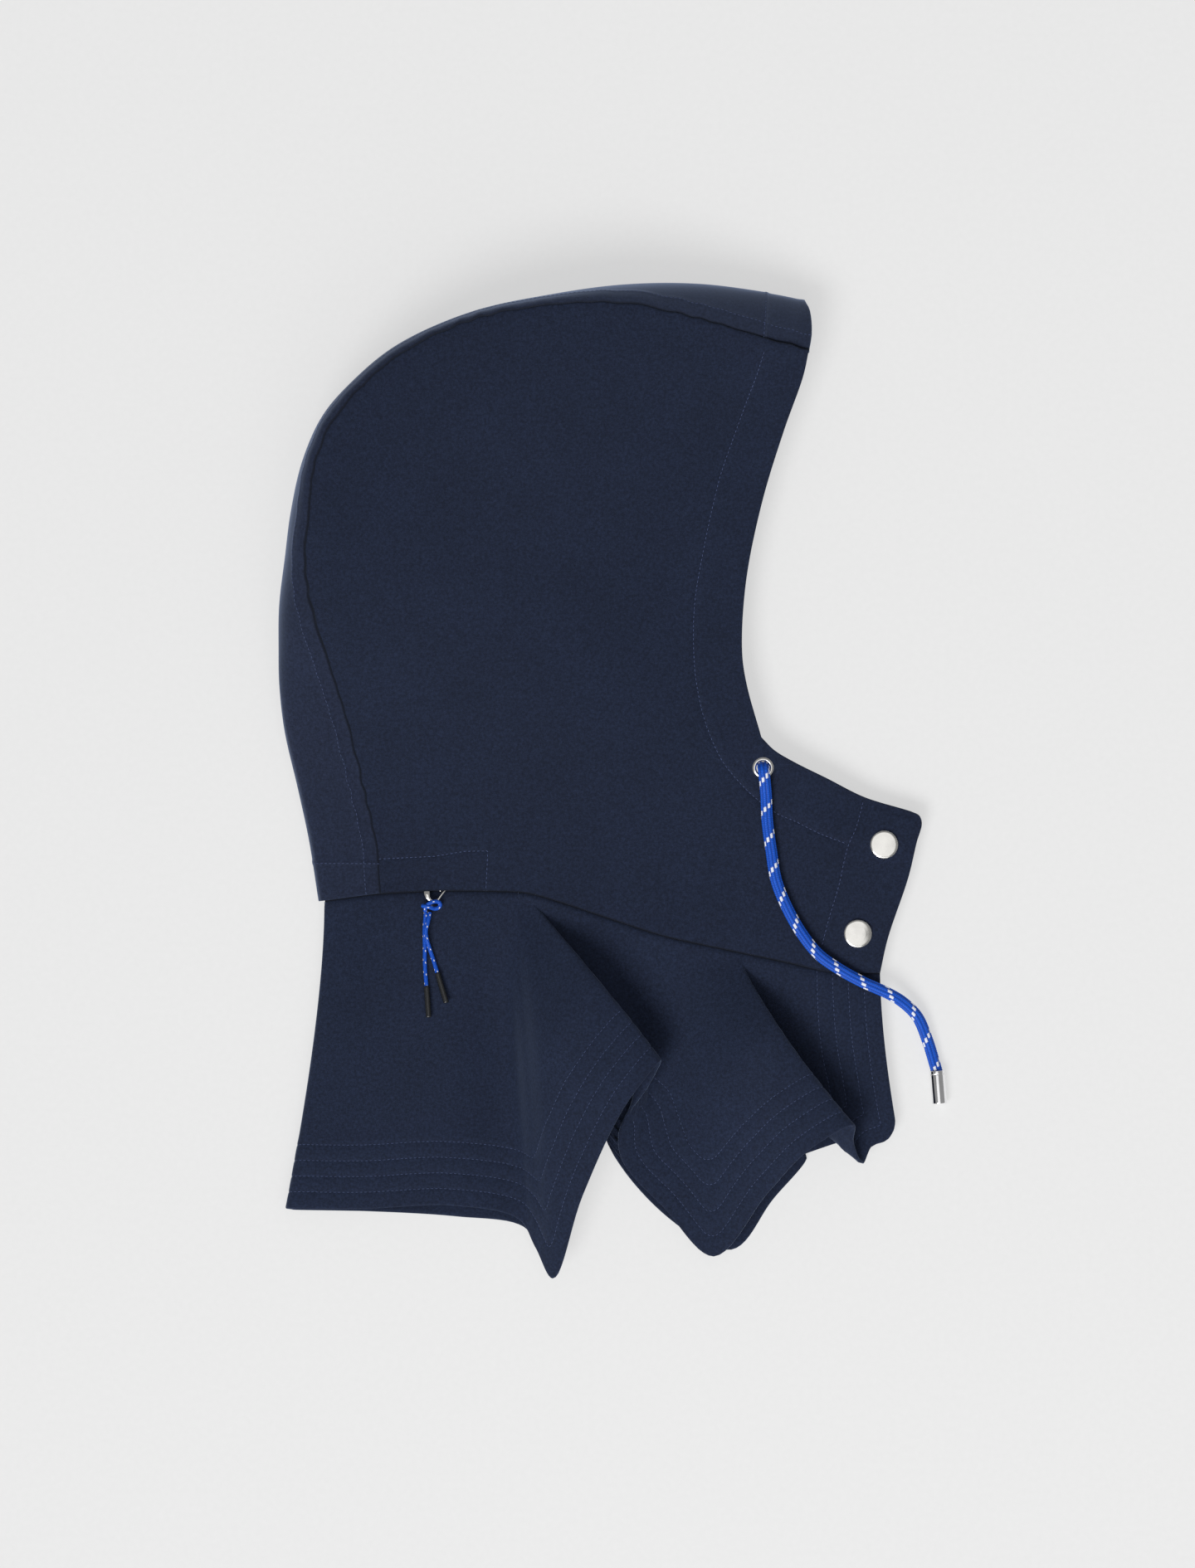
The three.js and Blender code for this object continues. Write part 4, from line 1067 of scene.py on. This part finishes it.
sections, across, along_seam = gusset_points()
g_rows, g_columns = sections.shape[:2]
gusset_triangles = grid_triangles(g_rows, g_columns)
gusset_middle = sections.reshape(-1, 3)
normals = vertex_normals(gusset_middle, gusset_triangles)
probe = g_rows * g_columns // 2 + g_columns // 2
if np.dot(normals[probe, :2], gusset_middle[probe, :2]) < 0:
    gusset_triangles = gusset_triangles[:, ::-1]
    normals = -normals
from_top, from_low = across[..., 0].ravel(), across[..., 1].ravel()
along_grid = np.repeat(along_seam, g_columns)
brow = along_seam[-1] - along_grid
edge = np.minimum(from_top, from_low)
lift = -0.3 * dip(edge, 0.7) - 0.3 * dip(np.abs(edge - GUSSET_STITCH), 0.8)
lift += 0.25 * uneven_wave(along_grid, 11, 1.9) * np.exp(-np.abs(edge) / 6) * smooth(0, 2, edge)
lift -= STITCH_DIP * (dip(brow - CASING_DEPTH, 0.9) + dip(along_grid - PATCH_DEPTH, 0.9))
lift += 0.35 * (1 - smooth(CASING_DEPTH - 3, CASING_DEPTH + 1, brow)) * smooth(1, 6, brow)
lift *= smooth(-0.5, 1.5, along_grid)
gusset_middle = gusset_middle + normals * lift[:, None]
gusset_middle[:, 2] = np.maximum(gusset_middle[:, 2], CLOTH / 2 + 0.02)
rim_away = np.minimum(np.minimum(np.abs(edge), along_grid), brow)
corners, faces = skin(gusset_middle, gusset_triangles, edge_half(rim_away + 0.08, CLOTH / 2, 0.5))
gusset = add_mesh("gusset_cloth", corners, faces, navy_gusset_painted_light)
# Painted shade along both seams and on the allowance turned in under the panels, in the seam attribute
mark(gusset, "seam", np.tile(np.where(edge < 0, 1, 0.95 * dip(edge, 0.38)), 2))
mark(gusset, "nap", np.tile(0.3 + 0.5 * smooth(0.5, 0.75, along_grid / along_seam[-1]), 2))
ride(gusset, "cloth", "hood_gusset")

# The skirt
neck_line = smooth_line(place(NECK_SEAM) - ORIGIN, 2)[::-1]
nape = place(CROWN_SEAM[:1])[0] - ORIGIN


def neck_start(share, half):
    """Where a rib starts at the neck: under the right panel, over the left one or between them."""
    x = share * WIDTH
    edge = interpolated([x], neck_line[:, 0], neck_line)[0]
    edge[0] = x
    fold_x = CROWN_SEAM[0][2] * WIDTH
    out = np.clip((nape[0] - x) / (nape[0] - fold_x), 0, 1)
    rise = (nape[2] - CLOTH / 2) / 2 * (1 - math.sqrt(1 - out * out))
    edge[1] += out * (CROWN_SEAM[0][3] - CROWN_SEAM[0][1]) * HOOD_HEIGHT
    zipped = smooth(0.09, 0.14, share) * (1 - smooth(0.36, 0.41, share))
    upper = edge[2] - rise - (CLOTH + NECK_GAP + ZIP_THICKNESS * zipped)
    lower = left_height(x + ORIGIN[0], edge[1] + ORIGIN[1]) + rise + CLOTH + NECK_GAP
    edge[2] = {"right": upper, "left": lower, "back": (upper + lower) / 2}[half]
    return edge


def fold_height(neck, middle, hem, share):
    """Heights down a rib that leaves the neck level and doesn't swing past its middle point or its hem."""
    first, last = middle - neck, hem - middle
    slope = 2 * first * last / (first + last) if first * last > 0 else 0
    upper = share < 0.5
    t = np.where(upper, 2 * share, 2 * share - 1)
    start, stop = np.where(upper, neck, middle), np.where(upper, middle, hem)
    leave, arrive = np.where(upper, 0, slope), np.where(upper, slope, last)
    blend = t * t * (3 - 2 * t)
    return start + (stop - start) * blend + leave * t * (1 - t) ** 2 - arrive * t * t * (1 - t)


def rib(row, half):
    """A line of points down the skirt from its tucked edge over the neck to the hem."""
    neck_x, mid_x, mid_y, mid_z, hem_x, hem_y, hem_z = row
    edge = neck_start(neck_x, half)
    scale = LAYER if half == "left" else LOFT
    inside = edge + (0, NECK_TUCK, 0)
    neck = edge - (0, NECK_LIP, 0)
    mid = np.array([mid_x * WIDTH, -mid_y * SKIRT_DEPTH, CLOTH / 2 + mid_z * scale])
    hem = np.array([hem_x * WIDTH, -hem_y * SKIRT_DEPTH, CLOTH / 2 + hem_z * scale])
    control = 2 * mid - (neck + hem) / 2
    v = np.linspace(0, 1, 65)
    line = np.outer((1 - v) ** 2, neck) + np.outer(2 * v * (1 - v), control) + np.outer(v * v, hem)
    line[:, 2] = fold_height(neck[2], mid[2], hem[2], v)
    tuck = inside + np.outer(np.linspace(0, 1, 5)[:-1], neck - inside)
    return np.vstack([tuck, line]) + ORIGIN


LAYOUT = {"left": LEFT_FOLDS, "back": [BACK_FOLD], "right": RIGHT_FOLDS}
ribs = np.array([rib(row, half) for half, rows in LAYOUT.items() for row in rows])
# Distances from the hem: fine at its edge and round each row of stitches
HEM_LEVELS = [0, 0.35, 0.9, 1.8, 3.4, 5.6, 13.2, 21.8, 30.3, 38.5, 41.5]
BESIDE_ROW = np.array([-1, -0.5, -0.15, 0.15, 0.5, 1])
hem_fine = np.unique(np.concatenate([HEM_LEVELS, *[row + BESIDE_ROW for row in HEM_ROWS]]))
RIB_STEPS = 16
dense_t = np.linspace(0, 1, (len(ribs) - 1) * RIB_STEPS + 1)
dense = np.stack([spline(ribs[:, j], dense_t) for j in range(ribs.shape[1])], axis=1)

# Down each column: even steps from the neck, then set distances from the hem
NECK_LEVELS = [0, 1.5, 3, 3.6, 3.9, 4.2, 4.5, 4.9, 5.4, 6.2, 7.5, 9, 11]
MIDDLE_LEVELS = 42
UPPER_LEVELS = len(NECK_LEVELS) + MIDDLE_LEVELS
FOLDED_AT = [8, 10, 16, 18]  # the right half's ribs where the cloth turns back over itself
turned_back = [(len(LEFT_FOLDS) + 1 + rib_at) * RIB_STEPS for rib_at in FOLDED_AT]
turned_back = [0, *turned_back, len(dense_t) - 1]


def hem_distances(i):
    """Distance from each point down a column to the hem near it, on its own side of the folds."""
    reach = 44
    fold_before = max(t for t in turned_back[:-1] if t <= i)
    fold_after = min(t for t in turned_back if t > fold_before)
    low, high = max(i - reach, fold_before), min(i + reach, fold_after)
    gap, _ = to_segments(dense[i], dense[low : high + 1, -1])
    return np.sqrt(gap.min(axis=1))


centre_back = len(LEFT_FOLDS) * RIB_STEPS
hem_stops = []
for i, line in enumerate(dense):
    along = lengths(line)
    to_hem = along[-1] - along
    away = hem_distances(i) if i > centre_back else to_hem
    away = np.maximum.accumulate(away[::-1]) + np.arange(len(away)) * 1e-6
    hem_stops.append(along[-1] - np.interp(hem_fine, away, to_hem[::-1]))
# Each stop is the mean over seven columns, and the last one stays on the hem
padded = np.pad(np.array(hem_stops), ((3, 3), (0, 0)), mode="edge")
smoothed = sum(padded[k : k + len(dense)] for k in range(7)) / 7
smoothed += np.array([lengths(line)[-1] for line in dense])[:, None] - smoothed[:, :1]
columns_first = []
for line, near_hem in zip(dense, smoothed):
    middle_stops = np.linspace(NECK_LEVELS[-1], near_hem[-1], MIDDLE_LEVELS + 2)[1:-1]
    stops = np.concatenate([NECK_LEVELS, middle_stops, near_hem[::-1]])
    columns_first.append(at_lengths(line, stops))
columns_first = np.array(columns_first)
down = np.array([lengths(line) for line in columns_first])

# Across each level: set distances from both front edges, and even parameters between
ACROSS = 330
grids = {"point": [], "front": [], "side": [], "neck": []}
for j in range(columns_first.shape[1]):
    line = columns_first[:, j]
    along = lengths(line)
    first = np.interp(hem_fine[-1], along, dense_t)
    last = np.interp(along[-1] - hem_fine[-1], along, dense_t)
    inner = np.interp(np.linspace(first, last, ACROSS), dense_t, along)
    stops = np.concatenate([hem_fine[:-1], inner, (along[-1] - hem_fine[:-1])[::-1]])
    grids["point"].append(at_lengths(line, stops))
    grids["front"].append(np.minimum(stops, along[-1] - stops))
    grids["side"].append(np.interp(stops, along, dense_t))
    grids["neck"].append(np.interp(stops, along, down[:, j]))
skirt_rows, front_grid, side_grid, neck_grid = (np.array(grid) for grid in grids.values())
rows, columns = side_grid.shape
from_front, side_t, from_neck = front_grid.ravel(), side_grid.ravel(), neck_grid.ravel()
# Above the hem levels the distance to the hem plays no part, so any long one does
FAR = 60
from_hem = np.repeat(np.concatenate([np.full(UPPER_LEVELS, FAR), hem_fine[::-1]]), columns)
hem_levels = len(hem_fine)


def round_corner(grid, column, step):
    """Rounds a front corner of the hem. column is the front edge's, and step leads away from it."""
    near = [column + step * k for k in range(hem_levels)]
    u = front_grid[-hem_levels:, :][:, near]
    v = np.broadcast_to(hem_fine[::-1][:, None], u.shape)
    corner = grid[-1, column].copy()
    reach = int(np.searchsorted(hem_fine, CORNER))
    along_hem = grid[-1, near[reach]] - corner
    up_front = grid[-1 - reach, column] - corner
    along_hem /= np.linalg.norm(along_hem)
    up_front /= np.linalg.norm(up_front)
    a = np.clip(CORNER - u, 0, None) / CORNER
    b = np.clip(CORNER - v, 0, None) / CORNER
    move_u = CORNER * (a - a * np.sqrt(1 - b * b / 2))
    move_v = CORNER * (b - b * np.sqrt(1 - a * a / 2))
    both = (a > 0) & (b > 0)
    moved = grid[-hem_levels:, :][:, near] + np.where(both, move_u, 0)[..., None] * along_hem
    moved = moved + np.where(both, move_v, 0)[..., None] * up_front
    grid[np.ix_(range(rows - hem_levels, rows), near)] = moved


round_corner(skirt_rows, columns - 1, -1)
round_corner(skirt_rows, 0, 1)
skirt_middle = skirt_rows.reshape(-1, 3)
skirt_triangles = grid_triangles(rows, columns)
normals = vertex_normals(skirt_middle, skirt_triangles)
if normals[side_t > 0.6][:, 2].mean() < 0:
    skirt_triangles = skirt_triangles[:, ::-1]
    normals = -normals
lift = np.zeros(len(skirt_middle))
for row in HEM_ROWS:
    lift -= 0.3 * dip(from_hem - row, 0.8) * smooth(row - 2, row - 0.5, from_front)
    lift -= 0.3 * dip(from_front - row, 0.8) * smooth(row - 2, row - 0.5, from_hem)
hem_along = side_t * 1500
lift += 0.1 * uneven_wave(hem_along, 9, 0.7) * np.exp(-np.abs(from_hem - 22) / 14)
lift += 0.15 * uneven_wave(hem_along, 12, 2.2) * np.exp(-from_neck / 9)
lift -= 0.7 * dip(from_neck - NECK_TUCK - 0.4, 1.3) * (side_t > centre_back / (len(dense_t) - 1))
skirt_middle = skirt_middle + normals * lift[:, None]
rim_away = np.minimum(np.minimum(from_hem, from_front), from_neck)
band = 1 - smooth(36, 40, np.minimum(from_hem, from_front))
skirt_half = edge_half(rim_away + 0.1, CLOTH / 2 + HEM_EXTRA * band, 0.9)
skirt_middle[:, 2] = np.maximum(skirt_middle[:, 2], skirt_half + 0.02)
corners, faces = skin(skirt_middle, skirt_triangles, skirt_half)
skirt = add_mesh("skirt_cloth", corners, faces, navy_skirt_painted_light)
# Painted shade on the skirt just below the hood's edge, where that edge's shadow falls, in the seam
# attribute
mark(skirt, "seam", np.tile(dip(from_neck - NECK_TUCK - 0.3, 0.7), 2))
ride(skirt, "cloth", "neck_skirt")


# Stitches
STITCH = (1.65, 0.36, 0.27)  # length, width and height
STITCH_PITCH = 2.4


def stitch_shape():
    """Points and triangles of a small spindle that is one unit long, wide and high."""
    around, rings = 6, 3
    tilt = np.repeat(np.linspace(0, np.pi, rings + 2)[1:-1], around)
    turn = np.tile(np.linspace(0, 2 * np.pi, around, endpoint=False), rings)
    body = np.column_stack([-np.cos(tilt), np.sin(tilt) * np.cos(turn), np.sin(tilt) * np.sin(turn)]) / 2
    tip = rings * around
    triangles = []
    for k in range(around):
        after = (k + 1) % around
        triangles.append((tip, after, k))
        for start in range(0, tip - around, around):
            a, b = start + k, start + after
            triangles += [(a, b, b + around), (a, b + around, a + around)]
        triangles.append((tip - around + k, tip - around + after, tip + 1))
    return np.vstack([body, (-0.5, 0, 0), (0.5, 0, 0)]), np.array(triangles)


def sewn(name, runs, thread):
    """Rows of thread dashes as one piece. Each run is a line of points with the cloth's normals there."""
    shape, triangles = stitch_shape()
    shape = shape * STITCH
    points, faces = [], []
    for line, normals_there in runs:
        along = lengths(line)
        count = int(along[-1] // STITCH_PITCH)
        if count < 1:
            continue
        middles = (np.arange(count) + 0.5) * along[-1] / count
        here, up = interpolated(middles, along, line), interpolated(middles, along, normals_there)
        ahead, behind = (interpolated(middles + share * STITCH[0], along, line) for share in (0.5, -0.5))
        way = ahead - behind
        way /= np.maximum(np.linalg.norm(way, axis=1, keepdims=True), 1e-9)
        side = np.cross(up, way)
        side /= np.maximum(np.linalg.norm(side, axis=1, keepdims=True), 1e-9)
        up = np.cross(way, side)
        for k in range(count):
            faces.append(triangles + len(points) * len(shape))
            points.append(here[k] + shape @ np.array([way[k], side[k], up[k]]))
    piece = add_mesh(name, np.vstack(points), np.vstack(faces), thread)
    return ride(piece, "cloth")


def on_right_panel(line):
    """A line on the right panel's outer face, with the normals there."""
    flat = even(line[:, :2], 1)
    e = 0.4
    slopes = [(right_height(flat + step) - right_height(flat - step)) / (2 * e) for step in ((e, 0), (0, e))]
    normals = np.column_stack([-slopes[0], -slopes[1], np.ones(len(flat))])
    normals /= np.linalg.norm(normals, axis=1, keepdims=True)
    middle = np.column_stack([flat, right_height(flat)])
    return middle + normals * (CLOTH / 2 - SUNK), normals


def closest(values, wanted):
    return int(np.argmin(np.abs(values - wanted)))


SUNK = 0.02  # how deep the stitches' middles lie in the cloth's face
sewn("stitches_side_right", [on_right_panel(line) for line in stitch_lines], blue_thread)

gusset_normals = vertex_normals(gusset_middle, gusset_triangles)
probe = g_rows // 2 * g_columns + g_columns // 2
if np.dot(gusset_normals[probe, :2], gusset_middle[probe, :2]) < 0:
    gusset_normals = -gusset_normals
gusset_face = gusset_middle + gusset_normals * (CLOTH / 2 - SUNK)
faced = np.stack([grid.reshape(g_rows, g_columns, 3) for grid in (gusset_face, gusset_normals)])
stitch_columns = [closest(across[g_rows // 2, :, k], GUSSET_STITCH) for k in (0, 1)]
stitch_rows = [closest(along_seam, PATCH_DEPTH), closest(along_seam[-1] - along_seam, CASING_DEPTH)]
runs = [faced[:, :, k] for k in stitch_columns] + [faced[:, k] for k in stitch_rows]
sewn("stitches_gusset", runs, navy_thread)

skirt_normals = vertex_normals(skirt_middle, skirt_triangles)
skirt_face = skirt_middle + skirt_normals * (CLOTH / 2 + HEM_EXTRA - SUNK)
faced = np.stack([grid.reshape(rows, columns, 3) for grid in (skirt_face, skirt_normals)])
back_column = closest(side_grid[rows // 2], len(LEFT_FOLDS) / (len(ribs) - 1))
FIRST_SEWN = 4  # the first level below the skirt's tucked edge that a stitch row reaches
runs = []
for distance in HEM_ROWS:
    level = rows - 1 - closest(hem_fine, distance)
    stop = columns - int(np.searchsorted(front_grid[level][::-1], distance))
    column = columns - 1 - closest(hem_fine, distance)
    runs += [faced[:, level, back_column:stop], faced[:, FIRST_SEWN : level + 1, column]]
sewn("stitches_skirt", runs, navy_thread)


# Metal fittings
def seat_on(height_of, centre, radius):
    """A round piece's seat on a surface: centre, axis, and how far the surface rises and falls there."""
    turn = np.linspace(0, 2 * np.pi, 12, endpoint=False)
    ring = centre + radius * np.column_stack([np.cos(turn), np.sin(turn)])
    heights = height_of(np.vstack([centre[None], ring]))
    middle = np.array([*centre, heights[0]])
    points = np.column_stack([ring, heights[1:]])
    normal = np.cross(points[0] - points[6], points[3] - points[9])
    normal /= np.linalg.norm(normal)
    rise = (points - middle) @ normal
    return middle, normal, max(0, rise.max()), min(0, rise.min())


def right_top(points):
    return blended_height(points) + CLOTH / 2


for name, shares in SNAPS.items():
    middle, normal, rise, fall = seat_on(right_top, middle_point(shares), SNAP_DIAMETER / 2)
    edge_radius = SNAP_DIAMETER / 2
    under = rise + 0.1
    dome = (0.98, 0.85, 0.6, 0.35, 0.12)
    inside = fall - CLOTH - 0.6
    profile = [
        (0.3, inside - 1.2),
        (2.4, inside - 1.2),
        (2.4, inside - 2.2),
        (4.6, inside - 2.2),
        (4.75, inside),
        (2.2, inside),
        (2.2, under),
        (edge_radius * 0.97, under),
        (edge_radius, under + 0.5),
        (edge_radius, under + 1.0),
        (edge_radius * 0.97, under + 1.55),
        (edge_radius * 0.93, under + 1.85),
        *[(edge_radius * 0.9 * share, under + 2.35 - 0.35 * share**2) for share in dome],
    ]
    snap = turned(f"snap_{name}", rounded_profile(profile, 0.35), middle, normal, nickel, 96)
    ride(snap, "nickel", f"snap_cap_{name}")

middle, normal, rise, fall = seat_on(right_top, eyelet_centre, EYELET_OUTER / 2)
hole, outer = EYELET_HOLE / 2, EYELET_OUTER / 2
above, under = rise + 0.1, fall - CLOTH - 0.3
ring_profile = [
    (hole, under - 0.8),
    (outer, under - 0.8),
    (outer, under),
    (hole + 0.8, under),
    (hole + 0.8, above),
    (outer, above),
    (outer - 0.15, above + 0.55),
    (outer - 0.8, above + 0.95),
    (hole + 0.9, above + 1.05),
    (hole + 0.25, above + 0.8),
    (hole, above + 0.2),
]
ring_profile = rounded_profile(ring_profile, 0.3)
eyelet = turned("eyelet_ring", [*ring_profile, ring_profile[0]], middle, normal, nickel, 96)
ride(eyelet, "nickel", "eyelet_right")

# Materials of the CAD nodes that stay as they are
for node, material in {
    "neck_zip": tape,
    "snap_stud_upper": nickel_plain,
    "snap_stud_lower": nickel_plain,
    "eyelet_left": nickel_plain,
}.items():
    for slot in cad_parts[node].material_slots:
        slot.material = material

# Floor, light and tone
FLOOR_REACH = 60
floor_mesh = bpy.data.meshes.new("floor")
corners = [(x * FLOOR_REACH, y * FLOOR_REACH, 0) for x, y in ((-1, -1), (1, -1), (1, 1), (-1, 1))]
floor_mesh.from_pydata(corners, [], [(0, 1, 2, 3)])
floor_mesh.materials.append(light_table_material("pale_table"))
floor = bpy.data.objects.new("floor", floor_mesh)
bpy.context.scene.collection.objects.link(floor)

world = bpy.data.worlds.new("world")
bpy.context.scene.world = world
world.use_nodes = True
set_inputs(world.node_tree.nodes["Background"], {"Color": (1, 1, 1, 1), "Strength": 0.27})


def add_light(name, kind, energy, location):
    """A light at location that points at the origin. An area light is a square."""
    data = bpy.data.lights.new(name, kind)
    data.energy = energy
    light = bpy.data.objects.new(name, data)
    bpy.context.scene.collection.objects.link(light)
    light.location = location
    tilt = math.atan2(math.hypot(location[0], location[1]), location[2])
    light.rotation_euler = (0, tilt, math.atan2(location[1], location[0]))
    return data


key = add_light("key", "SUN", 1.9, (-0.8, -1.25, 1.95))
key.angle = math.radians(28)
low_fill = add_light("low_fill", "AREA", 4.6, (0.1, -1.1, 1))
low_fill.size = 1
overhead = add_light("overhead", "AREA", 6.5, (0, 0, 2.6))
overhead.size = 1.7

bpy.context.scene.view_settings.view_transform = "Standard"
bpy.context.scene.view_settings.look = "None"
